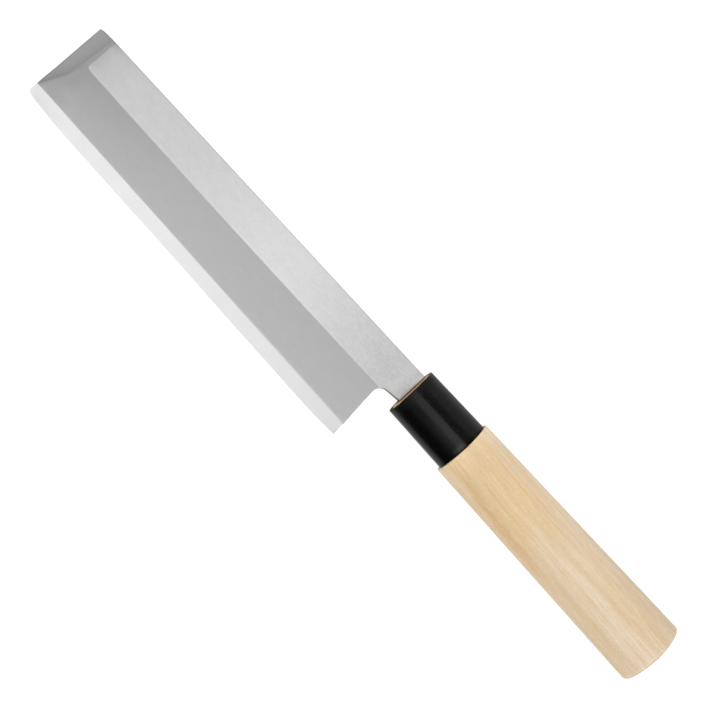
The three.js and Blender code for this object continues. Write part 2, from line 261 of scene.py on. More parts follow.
def ridge_y(x):
    s, b, bow = shinogi_y(x), band_y(x), ridge_bow(x)
    return (s * (s - b) - bow * b) / (s - b - bow)


def bevel_z(x, y):
    s, b = shinogi_y(x), band_y(x)
    return taper_z(x) + BEVEL_SLOPE * (y - s - ridge_bow(x) * (y - b) / (s - b))


def on_bevel(p):
    return (p[0], p[1], bevel_z(*p))


_low = (*FRONT_STEP_LOW, taper_z(FRONT_STEP_LOW[0]))
_high = (*FRONT_STEP_HIGH, taper_z(FRONT_STEP_HIGH[0]))
BAND = plane(on_bevel(EDGE_BAND_TIP), on_bevel(EDGE_BAND_HEEL), (-90.0, edge_y(-90.0), -HALF_T + EDGE_T))
STEP = plane(_low, _high, (_low[0] - 5.0, _low[1] + 0.26, _low[2] - 5.0 * FRONT_STEP_SLOPE))
FACET = plane(FACET_LOW, FACET_MID, FACET_HIGH)
_tip = on_bevel(EDGE_BAND_TIP)
LAMINA = plane(_tip, on_bevel(EDGE_BAND_HEEL), (_tip[0], _tip[1] + 20.0, _tip[2] + 20.0 * LAMINA_SLOPE))
BLEND = 0.10       # the bevel runs softly into the strip behind the front


def soft_min(a, b, k):
    h = np.maximum(k - np.abs(a - b), 0.0) / k
    return np.minimum(a, b) - h * h * k * 0.25


def twist(y):
    """The front is ground by hand, with a slight twist along its height."""
    return np.interp(y, (-13.0, -6.5, -1.0, 4.0, 5.5), (0.0, 0.05, 0.0, 0.0, -0.02))


def ground(x, y):
    """Bevel and front strip in one soft surface."""
    return soft_min(bevel_z(x, y), at_plane(STEP, x, y) + twist(y), BLEND)


def facet_z(x, y):
    """The front facet, with the same twist and a little lower towards the spine."""
    t = np.clip((y + 13.0) / 8.0, 0.0, 1.0)
    return at_plane(FACET, x, y) + twist(y) - 0.020 * t * t * (3.0 - 2.0 * t)


def flat_z(x):
    return np.minimum(HALF_T, taper_z(x)) + 0.0 * x


def tang_z(x):
    return HALF_T - np.maximum(x - 6.0, 0.0) * TANG_TAPER


def top_z(x, y):
    z = np.minimum(flat_z(x), ground(x, y))
    z = np.minimum(z, facet_z(x, y))
    return np.minimum(np.minimum(z, at_plane(BAND, x, y)), tang_z(x))


def hollow_span(x):
    """Middle, half width and depth share of the hollow on the back at x."""
    to_end = np.clip(np.minimum(x - HOLLOW_X[0], HOLLOW_X[1] - x), 0.0, HOLLOW_END)
    e = np.sqrt(np.maximum(1.0 - (1.0 - to_end / HOLLOW_END) ** 2, 0.0))
    low, high = edge_y(x) + HOLLOW_EDGE_RIM, spine_y(x) - HOLLOW_SPINE_RIM
    return (low + high) / 2, e * (high - low) / 2, e


def hollow_rise(x, y):
    mid, half, e = hollow_span(x)
    v = np.clip((y - mid) / np.maximum(half, 1e-6), -1.0, 1.0)
    return HOLLOW_DEPTH * e * e * (1.0 - v * v)


def back_z(x, y):
    return np.where(x < 0, -HALF_T + hollow_rise(x, y), -tang_z(x))


def front_bow(x, y):
    """The front end bows out a little above the edge."""
    return 0.14 * np.exp(-((y + 21.5) / 4.0) ** 2) * np.clip((-169.5 - x) / 2.0, 0, 1)


def in_lamina(x, y):
    return (y < LAMINA_TOP_Y) & ((x < LAMINA_END_X) | (y < LAMINA_HEEL_Y))


# ---- outlines -----------------------------------------------------------------------------------------------------
def quadratic(a, b, c, n):
    t = np.linspace(0, 1, n + 1)[1:]
    return [tuple((1 - s) ** 2 * np.array(a) + 2 * s * (1 - s) * np.array(b) + s * s * np.array(c)) for s in t]


def heel_arc(n=20):
    heel = np.array(HEEL_TOP) - np.array(EDGE_HEEL)
    heel /= np.linalg.norm(heel)
    neck = np.array([-HEEL_TOP[0], NECK_UNDER_Y - HEEL_TOP[1]])
    neck /= np.linalg.norm(neck)
    turn = math.acos(float(heel @ neck))
    reach = HEEL_FILLET * math.tan(turn / 2)
    start = np.array(HEEL_TOP) - heel * reach
    centre = start + np.array([heel[1], -heel[0]]) * HEEL_FILLET
    a0 = math.atan2(start[1] - centre[1], start[0] - centre[0])
    return [tuple(centre + HEEL_FILLET * np.array([math.cos(a0 - turn * i / n), math.sin(a0 - turn * i / n)]))
            for i in range(n + 1)]


SOFT_FROM = (EDGE_TIP[0], EDGE_TIP[1] + EDGE_TIP_SOFT[1])
SOFT_TO = (EDGE_TIP[0] + EDGE_TIP_SOFT[0], edge_y(EDGE_TIP[0] + EDGE_TIP_SOFT[0]))
TIP_CORNER = [SOFT_FROM] + quadratic(SOFT_FROM, (EDGE_TIP[0] + 0.2, EDGE_TIP[1] + 0.3), SOFT_TO, 14)
SPINE_CURVE = quadratic((SPINE_DROP_X, spine_y(SPINE_DROP_X)), (FRONT_TOP[0] + 1.2, spine_y(FRONT_TOP[0])), FRONT_TOP, 12)
TANG_OUTLINE = [
    (TANG_SHOULDER_X, TANG_UNDER[0]), (TANG_END_X, TANG_UNDER[1]), (TANG_END_X + TANG_TIP, TANG_UNDER[1] + 1.4),
    (TANG_END_X + TANG_TIP, TANG_TOP[1] - 1.4), (TANG_END_X, TANG_TOP[1]), (TANG_SHOULDER_X, TANG_TOP[0])]


def heel_x(y):
    return EDGE_HEEL[0] + (y - EDGE_HEEL[1]) * (HEEL_TOP[0] - EDGE_HEEL[0]) / (HEEL_TOP[1] - EDGE_HEEL[1])


def front_x(y):
    pts = [FRONT_TOP, FRONT_MID, FRONT_LOW, SOFT_FROM]
    return float(np.interp(-y, [-p[1] for p in pts], [p[0] for p in pts]))


def crossing(f, lo, hi):
    """Where f turns from one sign to the other between lo and hi."""
    s = f(lo) > 0
    for _ in range(60):
        m = (lo + hi) / 2
        if (f(m) > 0) == s:
            lo = m
        else:
            hi = m
    return (lo + hi) / 2


BAND_END_Y = crossing(lambda y: y - band_y(heel_x(y)), -30.0, -20.0)
BAND_START_Y = crossing(lambda y: y - band_y(front_x(y)), -26.0, -20.0)
BAND_START, BAND_END = (front_x(BAND_START_Y), BAND_START_Y), (heel_x(BAND_END_Y), BAND_END_Y)


def dense(points, step, closed=False):
    out = []
    n = len(points)
    for i in range(n if closed else n - 1):
        a, b = np.array(points[i], float), np.array(points[(i + 1) % n], float)
        k = max(1, int(math.ceil(np.linalg.norm(b - a) / step)))
        out += [tuple(a + (b - a) * j / k) for j in range(k)]
    return out if closed else out + [tuple(points[-1])]


# the outer border from the end of the edge band round the neck, tang and spine to the front of the band
BORDER = ([BAND_END] + heel_arc() + [(0.0, NECK_UNDER_Y)] + TANG_OUTLINE + [(0.0, SPINE_Y)]
          + [(SPINE_DROP_X, spine_y(SPINE_DROP_X))] + SPINE_CURVE + [FRONT_MID, FRONT_LOW, BAND_START])
# and the rest of it, which the edge steel alone has
EDGE_BORDER = [BAND_START] + TIP_CORNER + [EDGE_HEEL, BAND_END]
ROUNDED = np.array([list(a) + list(b) for line in (BORDER, [BAND_START, SOFT_FROM], [EDGE_HEEL, BAND_END])
                    for a, b in zip(line[:-1], line[1:]) if math.dist(a, b) > 1e-9])
EASE = 0.16


def from_segments(x, y, segments):
    """Distance to the nearest of these segments."""
    a, b = segments[:, :2], segments[:, 2:]
    d = b - a
    p = np.stack([x, y], -1)[:, None, :]
    t = np.clip(((p - a) * d).sum(-1) / (d * d).sum(-1), 0, 1)
    return np.linalg.norm(p - a - t[..., None] * d, axis=-1).min(1)


def from_border(x, y):
    """Distance to the rounded part of the outline."""
    return from_segments(x, y, ROUNDED)


def from_line(x, y, line):
    """Distance to a line of points."""
    return from_segments(x, y, np.array([list(a) + list(b) for a, b in zip(line[:-1], line[1:])]))


def ease(x, y):
    """How far the rounded border pulls the surface in, and the rounding's radius there."""
    r = np.minimum(EASE, 0.30 * np.maximum(top_z(x, y) - back_z(x, y), 0.0)) + 1e-6
    d = np.minimum(from_border(x, y), r)
    return r - np.sqrt(np.maximum(r * r - (r - d) ** 2, 0.0)), r


def offset_line(points, d, closed=False):
    """The line moved sideways by d, to the left of its direction."""
    p = np.array(points, float)
    n = len(p)
    out = []
    for i in range(n):
        prev = p[i - 1] if (i > 0 or closed) else None
        after = p[(i + 1) % n] if (i < n - 1 or closed) else None
        dirs = [v / np.linalg.norm(v) for v in
                ([p[i] - prev] if prev is not None else []) + ([after - p[i]] if after is not None else [])]
        normals = [np.array([-v[1], v[0]]) for v in dirs]
        m = sum(normals)
        m = m / np.linalg.norm(m)
        out.append(tuple(p[i] + m * d / max(float(m @ normals[0]), 0.5)))
    return out


# ---- lines where the ground planes meet ------------------------------------------------------------------------------
def flat_border():
    """Border of the flat face: along the front strip, round the corner and along the ridge."""
    centre = np.array([-156.0, 0.0])
    out = []
    for a in np.radians(np.concatenate([np.linspace(133, 180, 24), np.linspace(182, 236, 60), np.linspace(238, 262, 8)])):
        d = np.array([math.cos(a), math.sin(a)])

        def gap(s):
            x, y = centre + s * d
            return float(ground(np.array(x), np.array(y)) - taper_z(x))
        out.append(tuple(centre + crossing(gap, 0.0, 14.0) * d))
    x_end = heel_x(-8.4)
    out += [(x, ridge_y(x)) for x in np.linspace(out[-1][0] + 2.0, -6.0, 80)]
    return out


def facet_border():
    out = []
    for y in np.linspace(-23.86, 6.9, 110):
        x = crossing(lambda s: float(ground(np.array(s), np.array(y)) - facet_z(s, y)), -175.0, -160.0)
        out.append((x, y))
    return out


FLAT_BORDER, FACET_BORDER = flat_border(), facet_border()


def hollow_border(n=90):
    t = np.linspace(0, np.pi, n)
    x = HOLLOW_X[0] + (HOLLOW_X[1] - HOLLOW_X[0]) * (0.5 - 0.5 * np.cos(t))
    mid, half, _ = hollow_span(x)
    return list(zip(x, mid - half)) + list(zip(x, mid + half))[::-1][1:-1]


HOLLOW_BORDER = hollow_border()
LAMINA_LINE = [(-174.0, LAMINA_TOP_Y), (LAMINA_END_X, LAMINA_TOP_Y), (LAMINA_END_X, LAMINA_HEEL_Y), (-8.0, LAMINA_HEEL_Y)]


def triangulate(outline, lines, points):
    """Triangles of the outline that keep the given lines as edges; returns x, y and the corner indices."""
    verts, edges = list(outline), []
    loop = list(range(len(outline)))
    edges += [(i, (i + 1) % len(outline)) for i in loop]
    for line in lines:
        start = len(verts)
        verts += list(line)
        edges += [(start + i, start + i + 1) for i in range(len(line) - 1)]
    verts += list(points)
    v, _, faces, _, _, inside = delaunay_2d_cdt([Vector(p) for p in verts], edges, [loop], 0, 1e-5)
    keep = [f for f, where in zip(faces, inside) if len(where)]
    used = sorted({i for f in keep for i in f})
    back = {old: new for new, old in enumerate(used)}
    xy = np.array([v[i][:] for i in used])
    tris = []
    for f in keep:
        a, b, c = (xy[back[i]] for i in f)
        turn = (b[0] - a[0]) * (c[1] - a[1]) - (b[1] - a[1]) * (c[0] - a[0])
        tris.append(tuple(back[i] for i in (f if turn > 0 else (f[0], f[2], f[1]))))
    return xy[:, 0], xy[:, 1], tris


def slab(x, y, tris, top, bottom):
    """A closed body between two heights over the same triangles: vertices, faces and each face's side."""
    n = len(x)
    thin = np.abs(top - bottom) < 1e-5
    low = [i if thin[i] else n + i for i in range(n)]
    verts = [(x[i], y[i], top[i]) for i in range(n)] + [(x[i], y[i], bottom[i]) for i in range(n)]
    faces, side = [], []
    count = {}
    for a, b, c in tris:
        faces.append((a, b, c))
        side.append("top")
        under = (low[c], low[b], low[a])
        if under != (c, b, a):
            faces.append(under)
            side.append("bottom")
        else:
            faces.pop()
            side.pop()
        for e in ((a, b), (b, c), (c, a)):
            count[e] = True
    for a, b in list(count):
        if (b, a) not in count:
            wall = [a, low[a], low[b], b]
            wall = [p for i, p in enumerate(wall) if p not in wall[:i]]
            if len(wall) > 2:
                faces.append(tuple(wall))
                side.append("wall")
    return np.array(verts), faces, side


def grid_points(x0, x1, y0, y1, dx, dy):
    nx, ny = int(round((x1 - x0) / dx)), int(round((y1 - y0) / dy))
    return [(x0 + (i + 0.5 * (j % 2)) * dx, y0 + j * dy) for i in range(nx + 1) for j in range(ny + 1)]


def solid_object(name, verts, faces, materials, index, tone=None, extra=None, sharp=34.0):
    """A smooth shaded object laid on the table, with only its used vertices; knife_mm keeps the knife's own frame."""
    used = sorted({i for f in faces for i in f})
    back = {old: new for new, old in enumerate(used)}
    mesh = bpy.data.meshes.new(name)
    own = np.asarray(verts, float)[used]
    mesh.from_pydata([tuple(LIE @ Vector(p * 0.001)) for p in own], [], [tuple(back[i] for i in f) for f in faces])
    for m in materials:
        mesh.materials.append(m)
    mesh.polygons.foreach_set("material_index", index)
    mesh.polygons.foreach_set("use_smooth", [True] * len(mesh.polygons))
    fields = {"tone": np.ones(len(verts)) if tone is None else tone, **(extra or {})}
    for key, values in fields.items():
        field = mesh.attributes.new(key, "FLOAT", "POINT")
        field.data.foreach_set("value", np.asarray(values, float)[used].astype(np.float32))
    field = mesh.attributes.new("knife_mm", "FLOAT_VECTOR", "POINT")
    field.data.foreach_set("vector", own.astype(np.float32).ravel())
    mesh.validate()
    mesh.update()
    mesh.set_sharp_from_angle(angle=math.radians(sharp))
    obj = bpy.data.objects.new(name, mesh)
    bpy.context.scene.collection.objects.link(obj)
    return obj


def creases(lines, width=0.12):
    out = []
    for line in lines:
        out += [line, offset_line(line, width), offset_line(line, -width)]
    return out


INSETS = (0.012, 0.036, 0.08, 0.16, 0.23)


def blade_body():
    outline = dense(BORDER, 2.5) + dense([BAND_START, BAND_END], 3.0)[1:-1]
    lines = [offset_line(dense(BORDER, 2.5), d) for d in INSETS]
    lines += creases([FLAT_BORDER]) + creases([HOLLOW_BORDER[len(HOLLOW_BORDER) // 2 - 2:]])
    lines += [offset_line(FLAT_BORDER, d) for d in (-0.6, 0.6)]
    lines += creases([FACET_BORDER], 0.40) + [offset_line(FACET_BORDER, d) for d in (-0.8, -0.2, 0.2, 0.8)]
    lines += [offset_line(dense(LAMINA_LINE, 3.0), 0.01), offset_line(dense(LAMINA_LINE, 3.0), -0.01)]
    lines += [offset_line(dense([BAND_START, BAND_END], 3.0), d) for d in (0.2, 0.4, 0.6, 0.9)]
    points = grid_points(-172.4, -159.0, -24.0, 6.6, 0.45, 0.45) + grid_points(-158.0, -10.0, -26.0, 7.0, 3.0, 1.5)
    points += grid_points(-9.0, 0.0, -5.0, 6.5, 1.0, 1.0)
    lines += [dense([(a, NECK_UNDER_Y + 0.3), (a, SPINE_Y - 0.3)], 1.0) for a in (-0.85, -0.55, -0.3)]
    x, y, tris = triangulate(outline, lines, points)
    pull, _ = ease(x, y)
    inside = in_lamina(x, y)
    top = top_z(x, y) - pull
    bottom = np.where(inside, at_plane(LAMINA, x, y), back_z(x, y) + pull)
    on_band = np.abs(y - band_y(x)) < 1e-4
    top = np.where(on_band, at_plane(LAMINA, x, y), np.maximum(top, bottom + 1e-4))
    bottom = np.where(on_band, top, bottom)
    verts, faces, side = slab(x, y, tris, top, bottom)
    verts[:, 0] -= np.tile(front_bow(x, y), 2)

    keys = ["hira", "kireha", "facet", "side", "heel_side", "neck_side", "neck_rim", "rim", "hollow", "weld", "tang"]
    index = []
    for f, s in zip(faces, side):
        cx, cy, cz = verts[list(f)].mean(0)
        if cx > 0.6:
            key = "tang"
        elif s == "top":
            flat, slope, front = float(flat_z(cx)), float(ground(np.array(cx), np.array(cy))), float(facet_z(cx, cy))
            key = "hira" if flat <= min(slope, front) + 1e-9 else ("kireha" if slope <= front else "facet")
            if cx > -8.6 and cy < -4.0 and from_border(np.array([cx]), np.array([cy]))[0] < 0.2:
                key = "neck_rim"
        elif s == "bottom":
            key = "weld" if in_lamina(cx, cy) else ("hollow" if hollow_rise(np.array(cx), np.array(cy)) > 0.002 else "rim")
        else:
            key = "neck_side" if cx > -9.65 and -11.0 < cy < 0 else ("heel_side" if cx > -12.0 and cy < 0 else "side")
        index.append(keys.index(key))
    n = len(x)
    tone = np.ones(2 * n)
    # the bevel is painted darker next to the ridge and towards the front, a painted shading of its curve, and the flat
    # carries a broad painted highlight in its middle
    down = np.clip((shinogi_y(x) - y) / (shinogi_y(x) - band_y(x)), 0, 1)
    front = np.clip((-105.0 - x) / 62.0, 0, 1)
    heel = np.clip((x + 95.0) / 85.0, 0, 1)
    bevel = (0.99 - 0.10 * front ** 1.5 - 0.075 * heel) * (1.0 + (0.07 + 0.17 * front) * (down - 0.5))
    bevel *= 1.0 - 0.085 * np.clip((-158.5 - x) / 6.0, 0, 1) * np.clip((-8.5 - y) / 5.0, 0, 1)
    flat = (0.885 + 0.105 * np.exp(-((x + 66.0) / 34.0) ** 2) - 0.06 * np.clip((-150.0 - x) / 12.0, 0, 1)
            - 0.085 * np.clip((x + 60.0) / 46.0, 0, 1) + 0.045 * np.clip((x + 9.0) / 4.0, 0, 1))
    # it dims towards its front border, most of all at the spine; in the corner under the ferrule's mouth it carries a
    # painted shadow, and it is painted lighter there towards the spine
    reach = 2.0 + 1.4 * np.clip((y - 3.0) / 2.5, 0, 1)
    dim = np.exp(-np.clip(x + 164.0, 0, None) / reach) * np.clip((y + 6.8) / 2.4, 0, 1) * np.clip((x + 164.35) / 0.3, 0, 1)
    flat *= 1.0 - dim * (0.14 + 0.14 * np.clip((y - 4.0) / 1.6, 0, 1))
    flat *= 1.0 + np.clip((x + 2.6) / 1.7, 0, 1) * np.interp(y, (-5.0, 0.0, 5.0), (-0.15, -0.05, 0.13))
    flat *= 1.0 - 0.12 * np.exp(-((x + 1.9) / 0.8) ** 2 - ((y + 1.5) / 1.9) ** 2)
    # faint clouds: a dull one where the neck begins, a clear one low on the front of the bevel
    flat *= 1.0 - 0.035 * np.exp(-((x + 16.0) / 7.0) ** 2 - ((y - 0.8) / 3.2) ** 2)
    bevel *= 1.0 + 0.08 * np.exp(-((x + 163.0) / 2.8) ** 2 - ((y + 18.5) / 2.1) ** 2)
    # next to the strip along the edge the bevel brightens softly, mostly towards the heel
    near = (y - band_y(x)) / 0.45
    bevel *= 1.0 + (0.10 + 0.32 * np.clip((x + 80.0) / 55.0, 0, 1)) * np.exp(-near * near)
    # the border of the flat carries a faint painted highlight, the crease of the front facet a painted line of shade
    flat *= 1.0 + 0.02 * np.exp(-((from_line(x, y, FLAT_BORDER) - 0.3) / 0.5) ** 2)
    crease = from_line(x, y, FACET_BORDER)
    # the bevel's tone runs softly into that of the strip behind the front
    strip = np.clip((-163.8 - x) / 0.8, 0, 1) * np.clip((y + 14.0) / 5.5, 0, 1)
    bevel = bevel * (1.0 - strip) + 0.825 * strip
    # painted shade along the crease of the front facet
    dull = 1.0 - np.interp(y, (-14.0, -7.0, 3.0), (0.17, 0.10, 0.03)) * np.exp(-((crease / 0.65) ** 2))
    bevel *= dull
    flat *= np.where(x < -164.4, dull, 1.0)
    # the front facet is painted darker next to its crease as shade, and darker towards the edge
    facet = (0.83 + 0.17 * (1.0 - np.exp(-crease / 1.7))) * (1.0 - 0.08 * np.clip((-11.0 - y) / 6.0, 0, 1))
    on_facet = facet_z(x, y) < np.minimum(ground(x, y), flat_z(x))
    tone[:n] = np.where(on_facet, facet, np.where(y < ridge_y(x), bevel, flat))
    # tarnish and painted shade creep in from the underside of the neck
    under = np.exp(-((from_border(x, y) / 0.5) ** 2)) * np.clip((x + 8.5) / 4.0, 0, 1) * np.clip((-3.5 - y) / 1.0, 0, 1)
    tone[:n] *= 1.0 - 0.26 * under
    # a painted shadow lies where the neck goes into the wood
    tone[:n] *= 1.0 - np.interp(y, (1.0, 5.0), (0.70, 0.58)) * np.clip((x + 0.72) / 0.30, 0, 1) * np.clip((0.6 - x) / 0.1, 0, 1)
    # and the outline of the front end keeps a painted dark line of shade on its rounded edge
    rim = np.exp(-((from_border(x, y) / 0.20) ** 2)) * np.interp(x, (-164.6, -162.6, -135.0), (0.62, 0.24, 0.03))
    tone[:n] *= 1.0 - rim
    obj = solid_object("blade_cladding", verts, faces, [STEELS[k] for k in keys], index, tone)
    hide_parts("blade_body")
    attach(obj, "root")
    return obj


def edge_steel():
    g = 0.02
    top_y = LAMINA_TOP_Y - g
    inner = [(heel_x(LAMINA_HEEL_Y - g), LAMINA_HEEL_Y - g), (LAMINA_END_X - g, LAMINA_HEEL_Y - g),
             (LAMINA_END_X - g, top_y), (front_x(top_y), top_y), FRONT_MID, FRONT_LOW]
    outline = dense(EDGE_BORDER + inner, 1.2, closed=True)
    lines = [offset_line(dense([BAND_END, inner[0]], 2.5), d) for d in INSETS]
    lines += [offset_line(dense([EDGE_HEEL, BAND_END], 1.0), d) for d in INSETS]
    lines += [offset_line(dense([inner[3], FRONT_MID, FRONT_LOW, BAND_START, SOFT_FROM], 2.0), d) for d in INSETS]
    band = dense([BAND_START, BAND_END], 3.0)
    lines += [band, offset_line(band, 0.1), offset_line(band, -0.1)]
    lines += creases([HOLLOW_BORDER + HOLLOW_BORDER[:1]])
    points = grid_points(-172.0, -9.0, -31.0, -0.5, 3.0, 1.5) + grid_points(-172.0, -160.0, -30.0, -1.0, 0.9, 0.9)
    x, y, tris = triangulate(outline, lines, points)
    pull, _ = ease(x, y)
    strip = y <= band_y(x) + 1e-6
    top = np.where(strip, at_plane(BAND, x, y) - pull, at_plane(LAMINA, x, y) - 0.004)
    bottom = back_z(x, y) + pull
    top = np.maximum(top, bottom + 0.01)
    verts, faces, side = slab(x, y, tris, top, bottom)
    # the line of the edge is a little worn: it bows out and turns in at both ends
    share = np.clip((band_y(x) - y) / (band_y(x) - edge_y(x)), 0, 1) ** 2
    worn = (-0.22 + 0.15 * np.exp(-((x + 97.0) / 24.0) ** 2) + 0.58 * np.exp(-((x + 168.0) / 8.0) ** 2)
            + 0.66 * np.exp(-((x + 7.5) / 7.5) ** 2) - 0.36 * np.clip((-170.9 - x) / 0.9, 0, 1))
    verts[:, 1] += np.tile(share * worn, 2)
    verts[:, 0] -= np.tile(front_bow(x, y), 2)
    keys = ["band", "weld", "rim", "hollow", "side", "heel_side"]
    index = []
    for f, s in zip(faces, side):
        cx, cy, cz = verts[list(f)].mean(0)
        if s == "top":
            key = "band" if cy < band_y(cx) else "weld"
        elif s == "bottom":
            key = "hollow" if hollow_rise(np.array(cx), np.array(cy)) > 0.002 else "rim"
        else:
            key = "band" if cy < band_y(cx) else ("heel_side" if cx > -12.0 else "side")
        index.append(keys.index(key))
    tone = np.concatenate([np.interp(x, (-165.0, -130.0, -90.0, -56.0, -8.0), (1.06, 1.00, 0.95, 0.90, 0.84)), np.ones(len(x))])
    obj = solid_object("blade_edge_steel", verts, faces, [STEELS[k] for k in keys], index, tone)
    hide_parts("edge_steel")
    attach(obj, "root")
    return obj


# ---- handle -----------------------------------------------------------------------------------------------------------
AROUND = 256


def d_section(ridge, soft=0.05, ridge_y=RIDGE_Y):
    """Half width and half height 1; the first number is y, the second z."""
    q = AROUND // 4
    ridge_angle = math.acos(ridge_y)
    out = []
    for i in range(AROUND):
        if i < q:
            t = ridge_angle * i / q
        elif i < 2 * q:
            t = ridge_angle + (math.pi - ridge_angle) * (i - q) / q
        else:
            t = math.pi + math.pi * (i - 2 * q) / (2 * q)
        c, s = math.cos(t), math.sin(t)
        y = math.copysign(abs(c) ** (2 / SECTION_POWER), c)
        bow = abs(s) ** (2 / SECTION_POWER)
        lean = (y - ridge_y) / ((1 - ridge_y) if y > ridge_y else (1 + ridge_y))
        tent = math.sqrt(1 + soft * soft) - math.sqrt(lean * lean + soft * soft)
        out.append((y, (1 - ridge) * bow + ridge * tent if s >= 0 else -bow))
    return np.array(out)


D_RIDGED, D_OVAL = d_section(RIDGE_SHARE), d_section(0.0)


def ring(section, x, half_w, half_h):
    return np.column_stack([np.full(len(section), x), section[:, 0] * half_w, section[:, 1] * half_h])


def lofted(rings, closed=False, cap_start=False, cap_end=False):
    """Quads between rings of the same count; rings run so that faces point outwards for increasing x."""
    n = len(rings[0])
    verts = np.concatenate(rings)
    faces, belongs = [], []
    m = len(rings)
    for k in range(m if closed else m - 1):
        a, b = k * n, ((k + 1) % m) * n
        for i in range(n):
            j = (i + 1) % n
            faces.append((a + i, a + j, b + j, b + i))
            belongs.append(k)
    for want, k in ((cap_start, 0), (cap_end, m - 1)):
        if want:
            centre = len(verts)
            verts = np.concatenate([verts, rings[k].mean(0)[None]])
            for i in range(n):
                j = (i + 1) % n
                faces.append((centre, k * n + j, k * n + i) if k == 0 else (centre, k * n + i, k * n + j))
                belongs.append(k)
    return verts, faces, belongs


def ramp(pair, t):
    return pair[0] + (pair[1] - pair[0]) * t


def black_sleeve():
    n = Nodes("ferrule_black")
    cloud = n.noise((16.0, 5.0, 5.0), 3.0, 0.6)
    streak = n.noise((30.0, 0.5, 0.5), 2.0, 0.6, shift=(3.0, 1.0, 4.0))
    scratch = n.noise((14.0, 0.07, 0.07), 2.0, 0.7, shift=(5.0, 8.0, 2.0))
    pit = n.noise((0.35, 0.35, 0.35), 2.0, 0.5)
    colour = n.mix(n.remap(cloud, 0.35, 0.65, 0.0, 1.0), (0.0003, 0.0004, 0.0006, 1), (0.0008, 0.0008, 0.0008, 1))
    colour = n.mix(n.remap(streak, 0.45, 0.70, 0.0, 0.5), colour, (0.0014, 0.0013, 0.0013, 1))
    # the spine side is a little scuffed, and its colour is lifted as a painted reflection, fading next to the wood as
    # painted shade
    x, y, z = n.xyz()
    scuff_and_sheen = n.math("MULTIPLY", n.remap(y, 0.2, 1.6, 0.0, 1.0, smooth=True), n.remap(streak, 0.3, 0.7, 0.7, 1.0))
    scuff_and_sheen = n.math("MULTIPLY", scuff_and_sheen, n.remap(x, 26.2, 27.3, 1.0, 0.35, smooth=True))
    colour = n.mix(scuff_and_sheen, colour, (0.0058, 0.0057, 0.0056, 1))
    # a painted highlight runs along the ridge and on the top next to the wood
    long = n.math("MULTIPLY", n.remap(x, 6.0, 20.0, 0.0, 0.28, smooth=True), n.remap(y, -4.4, -2.6, 0.3, 1.0, smooth=True))
    worn = n.math("MULTIPLY", n.math("ADD", long, n.remap(x, 24.8, 26.4, 0.0, 0.85, smooth=True)),
                  n.math("MULTIPLY", n.remap(y, -5.0, -3.4, 0.0, 1.0, smooth=True), n.remap(y, -0.4, 1.2, 1.0, 0.0, smooth=True)))
    colour = n.mix(worn, colour, (0.020, 0.0197, 0.0193, 1))
    # brightest as a painted highlight on the crest at the wood
    crest_highlight = n.math("MULTIPLY", n.math("ADD", n.remap(x, 25.2, 26.3, 0.0, 0.5, smooth=True), n.remap(x, 26.2, 27.1, 0.0, 0.5, smooth=True)),
                    n.math("MULTIPLY", n.remap(y, -3.2, -1.8, 0.0, 1.0, smooth=True), n.remap(y, -0.9, 0.1, 1.0, 0.0, smooth=True)))
    colour = n.mix(crest_highlight, colour, (0.046, 0.0455, 0.0445, 1))
    speck = n.noise((1.1, 0.7, 0.7), 1.0, 0.5, shift=(2.0, 4.0, 7.0))
    colour = n.mix(n.remap(speck, 0.48, 0.72, 0.0, 0.7), colour, n.vector("MULTIPLY", colour, (2.4, 2.4, 2.4)))
    rough = n.math("ADD", n.remap(cloud, 0.3, 0.7, 0.22, 0.27), n.remap(scratch, 0.4, 0.75, -0.01, 0.05))
    rough = n.math("ADD", rough, n.remap(y, 5.5, 8.5, 0.0, 0.22, smooth=True))
    rough = n.math("ADD", rough, n.math("MULTIPLY", n.remap(x, 0.3, 5.0, 0.12, 0.0, smooth=True), n.remap(y, 3.0, 6.5, 1.0, 0.0, smooth=True)))
    height = n.math("ADD", n.math("MULTIPLY", scratch, 0.6), n.math("MULTIPLY", pit, 0.4))
    n.set(Base_Color=colour, Roughness=rough, Normal=n.bump(height, 0.004, 0.5))
    n.shader.inputs["Specular IOR Level"].default_value = 0.28
    return n.material


def black_cut():
    """The cut ends and the bore of the sleeve, left dull."""
    n = Nodes("ferrule_black_cut")
    cloud = n.noise((3.0, 1.2, 1.2), 3.0, 0.6)
    mark = n.noise((0.2, 0.2, 0.9), 2.0, 0.6, shift=(4.0, 2.0, 1.0))
    colour = n.mix(n.remap(cloud, 0.35, 0.65, 0.0, 1.0), (0.004, 0.004, 0.004, 1), (0.010, 0.0095, 0.009, 1))
    # the spine-side corner of the mouth is painted grey as a glint on its rounded edge
    x, y, z = n.xyz()
    corner = n.math("MULTIPLY", n.remap(y, 7.2, 8.8, 0.0, 1.0, smooth=True), n.remap(x, 0.3, 0.6, 1.0, 0.0))
    colour = n.mix(corner, colour, (0.16, 0.155, 0.15, 1))
    n.set(Base_Color=colour, Roughness=n.remap(mark, 0.3, 0.7, 0.70, 0.85), Normal=n.bump(mark, 0.02, 0.5))
    n.shader.inputs["Specular IOR Level"].default_value = 0.12
    return n.material


